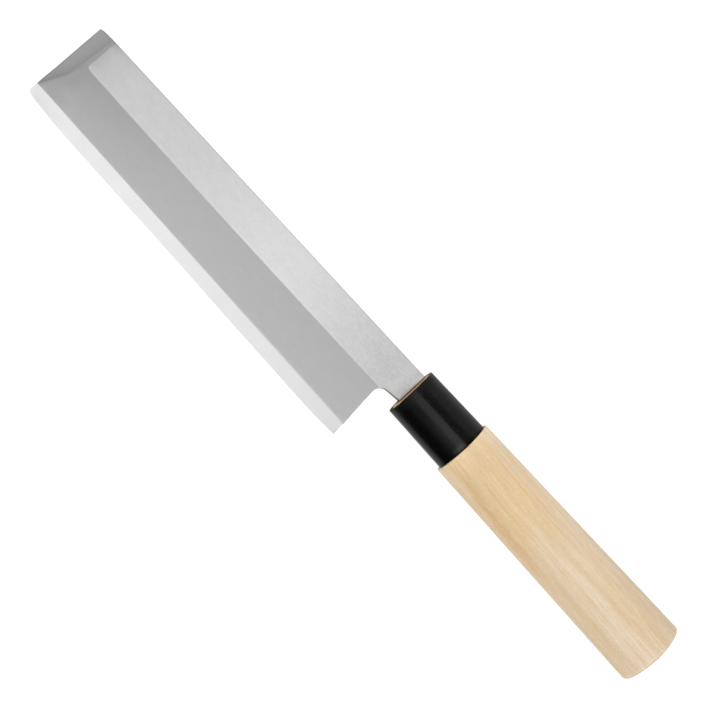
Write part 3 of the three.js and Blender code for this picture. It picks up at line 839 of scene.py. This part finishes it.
def ferrule():
    def at(x, inset):
        t = x / FERRULE_LENGTH
        section = d_section(RIDGE_SHARE + 0.05, ramp((0.15, 0.18), t), RIDGE_Y + 0.025)
        return ring(section, x, ramp(FERRULE_HALF_W, t) - inset, ramp(FERRULE_HALF_H, t) - inset)
    bore_w, bore_h = TENON_HALF[0] + TENON_FIT, TENON_HALF[1] + TENON_FIT
    r, s = 0.20, 0.32
    rings = [at(r * (1 - math.sin(a)), r * (1 - math.cos(a))) for a in np.radians(np.linspace(90, 0, 8))]
    rings += [at(x, 0.0) for x in (0.3, *np.linspace(1.2, FERRULE_LENGTH - 1.0, 12), FERRULE_LENGTH - s - 0.1)]
    rings += [at(FERRULE_LENGTH - s * (1 - math.sin(a)), s * (1 - math.cos(a))) for a in np.radians(np.linspace(0, 90, 5))]
    rings += [ring(D_OVAL, FERRULE_LENGTH, bore_w + 0.05, bore_h + 0.05)]
    rings += [ring(D_OVAL, x, bore_w, bore_h) for x in (FERRULE_LENGTH - 0.1, FERRULE_LENGTH / 2, 0.12)]
    rings += [ring(D_OVAL, 0.0, bore_w + 0.07, bore_h + 0.07)]
    verts, faces, belongs = lofted(rings, closed=True)
    dull = [0 if 4 <= k < 8 + 14 else 1 for k in belongs]
    obj = solid_object("ferrule_sleeve", verts, faces, [black_sleeve(), black_cut()], dull)
    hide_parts("ferrule")
    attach(obj, "root")
    return obj


def pale_wood():
    n = Nodes("pale_wood_grain")
    x, y, z = n.xyz()
    # the fibres wander a little along the grip
    drift = n.vector("SUBTRACT", n.tree.nodes.new("ShaderNodeTexNoise").outputs["Color"], (0.5, 0.5, 0.5))
    wander = drift.node.inputs[0].links[0].from_node
    n.put(n.vector("DIVIDE", n.mm, (55.0, 22.0, 22.0)), wander.inputs["Vector"])
    wander.inputs["Scale"].default_value = 1.0
    wander.inputs["Detail"].default_value = 1.0
    # and run a little askew to it
    tilt = n.tree.nodes.new("ShaderNodeCombineXYZ")
    n.put(n.math("MULTIPLY", x, 0.045), tilt.inputs[1])
    grain = n.vector("ADD", n.mm, n.vector("ADD", tilt.outputs[0], n.vector("MULTIPLY", drift, (0.0, 1.6, 1.6))))
    ring = n.noise((70.0, 5.0, 5.0), 1.0, 0.5, at=grain)
    streak = n.noise((34.0, 2.0, 2.0), 1.0, 0.5, at=grain, shift=(3.0, 8.0, 1.0))
    band = n.noise((24.0, 1.0, 1.0), 1.0, 0.5, at=grain, shift=(4.0, 1.0, 6.0))
    fibre = n.noise((14.0, 0.42, 0.42), 1.0, 0.6, at=grain, shift=(1.0, 7.0, 3.0))
    pore = n.noise((1.8, 0.17, 0.17), 1.0, 0.5, at=grain, shift=(9.0, 2.0, 5.0))
    fleck = n.noise((0.75, 0.60, 0.60), 1.0, 0.6, at=grain, shift=(6.0, 4.0, 8.0))
    # the upper face on the edge side of the ridge is paler towards the butt
    along = n.math("ADD", n.remap(x, 54.0, 86.0, 0.0, 0.6, smooth=True), n.remap(x, 60.0, 130.0, 0.0, 0.4))
    side = n.mix(along, linear(229, 201.5, 160), linear(220, 196, 160.5))
    middle = n.mix(along, linear(227, 199, 157), linear(227, 206, 177))
    wavy = n.math("MULTIPLY", n.math("SUBTRACT", n.noise((18.0, 2.5, 2.5), 2.0, 0.6, shift=(5.0, 1.0, 7.0)), 0.5), 1.8)
    zone = n.math("MULTIPLY", n.remap(n.math("ADD", y, wavy), -9.0, -7.4, 0.0, 1.0, smooth=True),
                  n.remap(n.math("ADD", y, n.math("MULTIPLY", wavy, 0.2)), -0.7, 0.2, 1.0, 0.0, smooth=True))
    colour = n.mix(zone, side, middle)
    # both flanks are painted paler and greyer, a painted sheen of the white floor glancing off them
    flank_sheen = n.remap(y, 5.5, 11.5, 0.0, 1.0, smooth=True)
    colour = n.mix(n.math("MULTIPLY", flank_sheen, 0.8), colour, n.mix(along, linear(234, 212, 184), linear(218, 196, 167)))
    edge_side = n.remap(n.math("SUBTRACT", y, n.remap(x, 60.0, 130.0, 0.0, 0.5)), -11.4, -8.9, 1.0, 0.0, smooth=True)
    colour = n.vector("MULTIPLY", colour, n.mix(edge_side, (1.0, 1.0, 1.0, 1.0), n.mix(along, (1.065, 1.11, 1.28, 1.0), (1.07, 1.10, 1.21, 1.0))))
    # the spine side is palest half way along
    pale = n.math("MULTIPLY", n.remap(n.math("ABSOLUTE", n.math("SUBTRACT", x, 84.0)), 0.0, 30.0, 1.0, 0.0, smooth=True),
                  n.remap(y, 1.5, 4.0, 0.0, 1.0, smooth=True))
    colour = n.vector("MULTIPLY", colour, n.mix(pale, (1.0, 1.0, 1.0, 1.0), (1.045, 1.055, 1.08, 1.0)))
    # streaks between a paler and a warmer tone
    share = n.math("ADD", n.math("MULTIPLY", ring, 0.22), n.math("MULTIPLY", streak, 0.26))
    share = n.math("ADD", share, n.math("ADD", n.math("MULTIPLY", band, 0.26), n.math("MULTIPLY", fibre, 0.26)))
    warm = n.remap(share, 0.44, 0.56, 0.0, 1.0)
    colour = n.vector("MULTIPLY", colour, n.mix(warm, (1.028, 1.060, 1.120, 1.0), (0.972, 0.940, 0.880, 1.0)))
    # a warmer cloudy strip along the edge side of the upper face, fading towards the butt
    middle_y = n.math("ADD", y, n.math("ADD", n.math("MULTIPLY", x, 0.063), 6.1))
    strip = n.math("MULTIPLY", n.remap(n.math("ABSOLUTE", middle_y), 0.0, 3.4, 1.0, 0.0, smooth=True),
                   n.math("MULTIPLY", n.remap(x, 66.0, 102.0, 1.0, 0.0, smooth=True), n.remap(x, 29.0, 46.0, 0.15, 1.0, smooth=True)))
    cloudy = n.noise((9.0, 1.1, 1.1), 2.0, 0.5, at=grain, shift=(8.0, 5.0, 2.0))
    strip = n.math("MULTIPLY", strip, n.remap(cloudy, 0.35, 0.65, 0.42, 1.06))
    colour = n.mix(n.math("MULTIPLY", strip, 0.75), colour, linear(218, 178, 127))
    # with a fainter one beside it
    beside = n.math("MULTIPLY", n.remap(n.math("ABSOLUTE", n.math("ADD", y, 5.4)), 1.6, 3.6, 1.0, 0.0, smooth=True),
                    n.math("MULTIPLY", n.remap(x, 62.0, 80.0, 1.0, 0.0, smooth=True), n.remap(x, 34.0, 46.0, 0.2, 1.0, smooth=True)))
    colour = n.mix(n.math("MULTIPLY", beside, n.remap(cloudy, 0.35, 0.65, 0.06, 0.18)), colour, linear(213, 178, 131))
    # a darker streak on either side of the ridge: beyond it in front, before it behind
    behind = n.math("MULTIPLY", n.remap(n.math("ABSOLUTE", n.math("ADD", y, 5.1)), 0.5, 1.7, 1.0, 0.0, smooth=True), n.remap(x, 76.0, 90.0, 0.0, 1.0, smooth=True))
    before = n.math("MULTIPLY", n.remap(n.math("ABSOLUTE", n.math("SUBTRACT", y, 1.7)), 0.6, 2.0, 1.0, 0.0, smooth=True), n.remap(x, 64.0, 76.0, 1.0, 0.0, smooth=True))
    ridge = n.math("MULTIPLY", n.remap(n.math("ABSOLUTE", n.math("SUBTRACT", y, 0.9)), 0.1, 1.5, 1.0, 0.0, smooth=True), n.remap(x, 94.0, 106.0, 0.0, 1.0, smooth=True))
    crest = n.math("MULTIPLY", n.remap(n.math("ABSOLUTE", n.math("ADD", y, n.math("MULTIPLY", n.math("SUBTRACT", x, 34.0), 0.02))), 0.2, 0.9, 1.3, 0.0, smooth=True),
                   n.remap(x, 58.0, 68.0, 1.0, 0.0, smooth=True))
    darker = n.math("ADD", n.math("ADD", n.math("ADD", behind, ridge), crest), n.math("MULTIPLY", before, 0.6))
    dark_streak = n.mix(darker, (1.0, 1.0, 1.0, 1.0), (0.975, 0.95, 0.915, 1.0))
    dark_streak.node.clamp_factor = False
    colour = n.vector("MULTIPLY", colour, dark_streak)
    # a paler one along the front of the ridge, and painted light on the wood next to the ferrule, against the ferrule's
    # shade
    beam = n.math("MULTIPLY", n.remap(n.math("ABSOLUTE", n.math("ADD", y, 2.1)), 0.45, 1.3, 1.0, 0.0, smooth=True), n.remap(x, 58.0, 68.0, 1.0, 0.0, smooth=True))
    colour = n.vector("MULTIPLY", colour, n.mix(beam, (1.0, 1.0, 1.0, 1.0), (1.04, 1.066, 1.12, 1.0)))
    def along_y(at, near, far):
        return n.remap(n.math("ABSOLUTE", n.math("SUBTRACT", y, at)), near, far, 1.0, 0.0, smooth=True)

    def between(a, b, c, d):
        return n.math("MULTIPLY", n.remap(x, a, b, 0.0, 1.0, smooth=True), n.remap(x, c, d, 1.0, 0.0, smooth=True))
    plain = n.math("SUBTRACT", 1.0, n.math("ADD", n.math("MULTIPLY", along_y(1.1, 1.2, 2.2), 0.8), along_y(-9.6, 0.9, 2.0)))
    ferrule_side_light = n.math("MULTIPLY", n.remap(x, 28.0, 38.0, 1.0, 0.0, smooth=True), plain)
    colour = n.vector("MULTIPLY", colour, n.mix(ferrule_side_light, (1.0, 1.0, 1.0, 1.0), (1.09, 1.10, 1.13, 1.0)))
    # single fibres stand out half way along: a pale one, and darker ones beside it, on the ridge and on the spine side
    askew = n.math("SUBTRACT", -7.0, n.math("MULTIPLY", n.math("SUBTRACT", x, 62.0), 0.03))
    for where, tint in ((n.math("MULTIPLY", along_y(-5.8, 0.35, 0.95), between(46.0, 54.0, 68.0, 78.0)), (1.065, 1.085, 1.10, 1.0)),
                        (n.math("MULTIPLY", along_y(askew, 0.35, 1.1), between(56.0, 66.0, 96.0, 106.0)), (0.96, 0.94, 0.89, 1.0)),
                        (n.math("MULTIPLY", along_y(1.0, 0.35, 1.0), between(54.0, 61.0, 94.0, 101.0)), (0.96, 0.945, 0.915, 1.0)),
                        (n.math("MULTIPLY", along_y(6.0, 0.8, 1.8), between(54.0, 62.0, 92.0, 102.0)), (0.975, 0.97, 0.97, 1.0)),
                        (n.math("MULTIPLY", along_y(-12.4, 0.5, 1.1), between(60.0, 70.0, 86.0, 96.0)), (1.03, 1.045, 1.07, 1.0)),
                        (n.math("MULTIPLY", along_y(4.0, 0.5, 1.2), between(44.0, 50.0, 58.0, 66.0)), (1.045, 1.06, 1.10, 1.0)),
                        (n.math("MULTIPLY", along_y(0.9, 0.9, 1.7), between(30.0, 34.0, 38.0, 44.0)), (0.965, 0.945, 0.915, 1.0)),
                        (n.math("MULTIPLY", along_y(12.6, 0.8, 1.5), between(46.0, 58.0, 92.0, 104.0)), (1.0, 1.005, 1.05, 1.0)),
                        (n.math("MULTIPLY", n.remap(y, -9.0, -7.0, 0.0, 1.0, smooth=True), n.remap(x, 120.0, 130.0, 0.0, 1.0, smooth=True)), (0.995, 1.0, 1.03, 1.0)),
                        # the rounded butt rim is painted darker, partly its end grain and partly painted shade
                        (n.remap(x, 130.4, 131.2, 0.0, 1.0, smooth=True), (0.935, 0.935, 0.95, 1.0)),
                        (n.remap(x, 131.1, 131.6, 0.0, 1.0, smooth=True), (0.86, 0.89, 0.92, 1.0)),
                        (n.math("SUBTRACT", n.remap(x, 131.0, 131.6, 0.0, 1.0, smooth=True), along_y(-7.0, 1.0, 2.2)), (0.95, 0.945, 0.925, 1.0)),
                        (n.remap(x, 131.7, 132.2, 0.0, 1.0, smooth=True), (0.90, 0.865, 0.82, 1.0))):
        colour = n.vector("MULTIPLY", colour, n.mix(where, (1.0, 1.0, 1.0, 1.0), tint))
    # the wood is a little darker towards the bottom
    colour = n.vector("MULTIPLY", colour, n.mix(n.remap(z, 0.5, 4.2, 1.0, 0.0, smooth=True), (1.0, 1.0, 1.0, 1.0), (0.945, 0.935, 0.92, 1.0)))
    # short dashes and fine long threads
    dash = n.noise((4.5, 0.50, 0.50), 1.0, 0.5, at=grain, shift=(7.0, 3.0, 9.0))
    thread = n.noise((60.0, 0.42, 0.42), 1.0, 0.5, at=grain, shift=(2.0, 6.0, 4.0))
    shade = n.math("MULTIPLY", n.remap(fibre, 0.25, 0.75, 0.985, 1.015), n.remap(fleck, 0.25, 0.75, 0.94, 1.06))
    for one, spread in ((thread, 0.22), (dash, 0.20)):
        colour = n.vector("MULTIPLY", colour, n.mix(n.remap(one, 0.5 - spread, 0.5 + spread, 0.0, 1.0), (1.016, 1.034, 1.062, 1.0), (0.984, 0.966, 0.938, 1.0)))
    shade = n.math("MULTIPLY", shade, n.remap(pore, 0.64, 0.80, 1.0, 0.92))
    end = n.attribute("end_grain")
    ends = n.noise((5.0, 0.30, 0.30), 2.0, 0.6, shift=(2.0, 2.0, 2.0))
    shade = n.math("MULTIPLY", shade, n.math("SUBTRACT", 1.0, n.math("MULTIPLY", end, n.remap(ends, 0.3, 0.7, 0.40, 0.54))))
    colour = n.scaled(colour, shade)
    colour = n.mix(n.math("MULTIPLY", end, 0.35), colour, linear(200, 158, 106))
    # the tenon's end face is painted a bright orange, partly its end-grain colour and partly painted light on a face
    # the lamps hardly reach
    colour = n.mix(n.attribute("glow"), colour, linear(255, 203, 133))
    # dark brown: stain, and painted shade beside the slot, on the lower half of the tenon's face and at the joint
    colour = n.mix(n.attribute("stain_and_shade"), colour, linear(90, 46, 15))
    # near black: a painted shadow in the gap between the wood and the ferrule's lip
    colour = n.mix(n.attribute("gap"), colour, linear(30, 27, 24))
    # the front rim carries a painted highlight on its rounded edge
    colour = n.vector("MULTIPLY", colour, n.mix(n.attribute("front_rim_highlight"), (1.0, 1.0, 1.0, 1.0), (1.16, 1.14, 1.08, 1.0)))
    rough = n.remap(share, 0.3, 0.7, 0.58, 0.66)
    height = n.math("ADD", n.math("MULTIPLY", fibre, 0.6), n.math("MULTIPLY", n.remap(pore, 0.6, 0.78, 1.0, 0.0), 0.4))
    n.set(Base_Color=colour, Roughness=rough, Normal=n.bump(height, 0.05, 0.35))
    n.shader.inputs["Specular IOR Level"].default_value = 0.4
    return n.material


def tang_under(x):
    if x < TANG_SHOULDER_X:
        return NECK_UNDER_Y + (TANG_UNDER[0] - NECK_UNDER_Y) * x / TANG_SHOULDER_X
    return ramp(TANG_UNDER, (x - TANG_SHOULDER_X) / (TANG_END_X - TANG_SHOULDER_X))


def tang_over(x):
    if x < TANG_SHOULDER_X:
        return SPINE_Y + (TANG_TOP[0] - SPINE_Y) * x / TANG_SHOULDER_X
    return ramp(TANG_TOP, (x - TANG_SHOULDER_X) / (TANG_END_X - TANG_SHOULDER_X))


def grip():
    front = FERRULE_LENGTH + SHOULDER_GAP
    deep, wide = BUTT_EASE[0] - 0.3, BUTT_EASE[1] - 1.6

    def at(x, inset, share=1.0):
        t = (x - front) / (BUTT_X - front)
        return ring(D_RIDGED, x, ramp(GRIP_HALF_W, t) - inset * share, ramp(GRIP_HALF_H, t) - inset)
    tenon = [ring(D_OVAL, x, TENON_HALF[0] - i, TENON_HALF[1] - i) for x, i in ((0.0, 0.2), (0.06, 0.08), (0.2, 0.0))]
    tenon += [ring(D_OVAL, x, *TENON_HALF) for x in (9.0, 18.0, front)]

    # the slot for the tang: close to the neck at its mouth, roomier behind
    base = tenon[0]
    def slot_box(x, m, pinch=0.0):
        return tang_under(min(x, TANG_END_X)) - m + pinch, tang_over(min(x, TANG_END_X)) + m - pinch
    lo, hi = slot_box(0.0, 0.3)
    angles = np.arctan2(base[:, 2], base[:, 1] - (lo + hi) / 2)
    half = (hi - lo) / 2
    corners = []
    for cy, cz in ((half, 1.7), (-half, 1.7), (-half, -1.7), (half, -1.7)):
        gap = np.angle(np.exp(1j * (angles - math.atan2(cz, cy))))
        corners.append(int(np.argmin(np.abs(gap))))

    def slot_ring(x, y0, y1, h):
        pts = np.zeros((AROUND, 3))
        spots = [(y1, h), (y0, h), (y0, -h), (y1, -h)]
        for k in range(4):
            i0, i1 = corners[k], corners[(k + 1) % 4]
            count = (i1 - i0) % AROUND
            for j in range(count):
                s = j / count
                a, b = spots[k], spots[(k + 1) % 4]
                pts[(i0 + j) % AROUND] = (x, a[0] + (b[0] - a[0]) * s, a[1] + (b[1] - a[1]) * s)
        return pts
    margin = 2 * BED_GAP + BED_WALL
    tall = HALF_T + margin
    slot = [slot_ring(TANG_END_X + TANG_TIP + margin, *slot_box(TANG_END_X, 0.0, 1.3), tall)]
    slot += [slot_ring(x, *slot_box(x, margin), tall) for x in (TANG_END_X, 48.0, TANG_SHOULDER_X, 1.12)]
    slot += [slot_ring(x, *slot_box(x, 0.3), HALF_T + 0.3) for x in (1.10, -0.35)]

    mouth = [slot[-1] + (tenon[0] - slot[-1]) * f for f in (0.30, 0.40, 0.70, 0.80)]
    tenon = mouth + tenon
    ease_front = [(front, 0.15), (front + 0.02, 0.09), (front + 0.05, 0.045), (front + 0.10, 0.012), (front + 0.16, 0.0)]
    body = [at(x, i) for x, i in ease_front]
    body += [at(front + 0.30, 0.0)] + [at(x, 0.0) for x in np.linspace(front + 1.2, BUTT_X - deep - 0.25, 40)] + [at(BUTT_X - deep, 0.0)]
    turn = np.radians(np.linspace(90, 0, 19))[1:]
    body += [at(BUTT_X - deep * (1 - math.cos(a)), wide * (1 - math.sin(a)), 0.75) for a in turn]
    last = body[-1]
    middle = last.mean(0)
    body += [middle + (last - middle) * s for s in (0.75, 0.5, 0.25)]
    # the sanded end is a little crowned
    for k, r in enumerate(body[-21:]):
        r[:, 0] += 0.34 * min(1.0, (k + 1) / 12.0) * (1.0 - (r[:, 1] / GRIP_HALF_W[1]) ** 2)
    rings = slot + tenon + body
    verts, faces, _ = lofted(rings, cap_start=True, cap_end=True)
    n_slot, n_tenon, n_body = len(slot), len(tenon), len(body)
    end, stain_and_shade, front_rim_highlight, glow, gap = (np.zeros(len(verts)) for _ in range(5))
    front_rim_highlight[(n_slot + n_tenon) * AROUND:(n_slot + n_tenon + len(ease_front)) * AROUND] = 1.0
    for k in range(len(rings)):
        span = slice(k * AROUND, (k + 1) * AROUND)
        if k < n_slot:
            # the slot's walls are stained dark, darkest at the mouth as painted shade
            end[span], stain_and_shade[span] = 1.0, 1.0 if k >= n_slot - 2 else 0.6
        elif k < n_slot + 6:
            # the ring next to the slot is painted dark as shade
            ring_stain_and_shade = (0.97, 0.20, 0.05, 0.05, 0.12, 0.12)[k - n_slot]
            # a painted shadow in the gap where the wood meets the ferrule
            if k >= n_slot + 3:
                gap[span] = (np.interp(rings[k][:, 2], (1.0, 2.6), (0.0, 1.0))
                             * np.interp(rings[k][:, 1], (-8.6, -7.2, -6.2, -5.0, 5.6, 7.2), (0.85, 0.55, 0.40, 1.0, 1.0, 0.5)))
            # painted shade on the lower half of the tenon's face
            under = np.where(rings[k][:, 2] < 0.8, np.interp(rings[k][:, 1], (-7.8, -6.2), (0.30, 0.85)), 0.0)
            end[span], stain_and_shade[span] = 0.12, np.maximum(under, ring_stain_and_shade)
            # painted light on the tenon's end face
            glow[span] = 0.85
        # painted shade on the grip's front face at the joint with the ferrule
        elif k in (n_slot + n_tenon - 1, n_slot + n_tenon):
            stain_and_shade[span] = np.interp(rings[k][:, 1], (-9.0, -5.0), (0.35, 1.0)) * (0.9 if k == n_slot + n_tenon - 1 else 0.4)
        elif k >= n_slot + n_tenon + n_body - 3 - 17:
            end[span] = min(1.0, max(0.0, (k - (n_slot + n_tenon + n_body - 3 - 17) - 4) / 7.0))
    end[-1] = 1.0
    obj = solid_object("handle_grip_wood", verts, faces, [pale_wood()], [0] * len(faces),
                       extra={"end_grain": end, "stain_and_shade": stain_and_shade, "front_rim_highlight": front_rim_highlight, "glow": glow, "gap": gap}, sharp=50.0)
    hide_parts("handle_grip")
    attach(obj, "root")
    return obj


def resin():
    n = Nodes("bedding_resin", own=False)
    cloud = n.noise((3.0, 3.0, 3.0), 3.0, 0.6)
    speck = n.noise((0.4, 0.4, 0.4), 2.0, 0.5, shift=(3.0, 3.0, 3.0))
    colour = n.mix(n.remap(cloud, 0.3, 0.7, 0.0, 1.0), (0.055, 0.030, 0.015, 1), (0.12, 0.075, 0.040, 1))
    n.set(Base_Color=colour, Roughness=n.remap(cloud, 0.3, 0.7, 0.40, 0.58), Normal=n.bump(speck, 0.05, 0.4))
    return n.material


blade_body()
edge_steel()
ferrule()
grip()
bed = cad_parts["tang_bedding"]
bed.data.materials.clear()
bed.data.materials.append(resin())


# ---- stage ----------------------------------------------------------------------------------------------------------
def floor():
    n = Nodes("floor_white", own=False)
    cloud = n.noise((400.0, 400.0, 400.0), 1.0, 0.5)
    n.set(Base_Color=n.scaled((0.36, 0.36, 0.36), n.remap(cloud, 0.3, 0.7, 0.99, 1.01)), Roughness=0.9)
    n.shader.inputs["Specular IOR Level"].default_value = 0.0
    n.shader.inputs["Emission Color"].default_value = (1, 1, 1, 1)
    n.shader.inputs["Emission Strength"].default_value = 0.82
    mesh = bpy.data.meshes.new("floor")
    s = 4.0
    mesh.from_pydata([(-s, -s, 0), (s, -s, 0), (s, s, 0), (-s, s, 0)], [], [(0, 1, 2, 3)])
    mesh.materials.append(n.material)
    obj = bpy.data.objects.new("floor", mesh)
    bpy.context.scene.collection.objects.link(obj)


floor()


def panel(name, place, aim, size, radiance):
    """A soft rectangular light that faces a point; its power follows from how bright the panel looks."""
    data = bpy.data.lights.new(name, "AREA")
    data.shape, data.size, data.size_y = "RECTANGLE", size[0], size[1]
    data.energy = radiance * math.pi * size[0] * size[1]
    obj = bpy.data.objects.new(name, data)
    bpy.context.scene.collection.objects.link(obj)
    obj.location = place
    obj.rotation_euler = (Vector(aim) - Vector(place)).to_track_quat("-Z", "Y").to_euler()
    return obj


panel("softbox_above", (-0.075, -0.075, 1.25), (-0.075, -0.02, 0.0), (0.80, 0.95), 1.35)
panel("softbox_front_end", (-1.15, 0.10, 0.85), (0.0, 0.0, 0.0), (2.2, 1.5), 1.0)
panel("softbox_butt_end", (1.15, -0.05, 0.85), (0.0, 0.0, 0.0), (2.2, 1.5), 2.9)
panel("fill_spine_side", (0.0, 1.30, 0.55), (0.0, 0.0, 0.0), (1.6, 0.7), 0.45)
panel("fill_edge_side", (-0.02, -0.78, 1.05), (0.0, 0.0, 0.0), (0.8, 0.40), 0.33).data.color = (0.90, 0.985, 1.04)

world = bpy.data.worlds.new("studio")
bpy.context.scene.world = world
world.use_nodes = True
sky = next(n for n in world.node_tree.nodes if n.type == "BACKGROUND")
sky.inputs["Color"].default_value = (1, 1, 1, 1)
# a white surround behind the floor, which hardly lights anything
rays = world.node_tree.nodes.new("ShaderNodeLightPath")
glow = world.node_tree.nodes.new("ShaderNodeMapRange")
glow.inputs["To Min"].default_value, glow.inputs["To Max"].default_value = 0.02, 1.0
world.node_tree.links.new(rays.outputs["Is Camera Ray"], glow.inputs["Value"])
world.node_tree.links.new(glow.outputs[0], sky.inputs["Strength"])

# ---- camera ---------------------------------------------------------------------------------------------------------
TARGET, DISTANCE, LEAN_X, LEAN_Y, TURN = (-20.99287325, -5.80646204, 0.0), 798.5336, 4.5, 6.0, 47.48
to_camera = Vector((-math.tan(math.radians(LEAN_X)), -math.tan(math.radians(LEAN_Y)), 1.0)).normalized()
e1 = (Vector((1, 0, 0)) - to_camera * to_camera.x).normalized()
e2 = to_camera.cross(e1)
c, s = math.cos(math.radians(TURN)), math.sin(math.radians(TURN))
right, up = e1 * c + e2 * s, e2 * c - e1 * s
place = (Vector(TARGET) + to_camera * DISTANCE) * 0.001
pose = Matrix(((right.x, up.x, to_camera.x, place.x), (right.y, up.y, to_camera.y, place.y),
               (right.z, up.z, to_camera.z, place.z), (0, 0, 0, 1)))
camera = bpy.data.cameras.new("camera")
camera.lens, camera.sensor_width, camera.sensor_fit = 110.0, 36.0, "HORIZONTAL"
camera.clip_start, camera.clip_end = 0.01, 50.0
eye = bpy.data.objects.new("camera", camera)
bpy.context.scene.collection.objects.link(eye)
eye.matrix_world = LIE @ pose
bpy.context.scene.camera = eye

bpy.context.scene.view_settings.view_transform = "Standard"
bpy.context.scene.view_settings.look = "None"
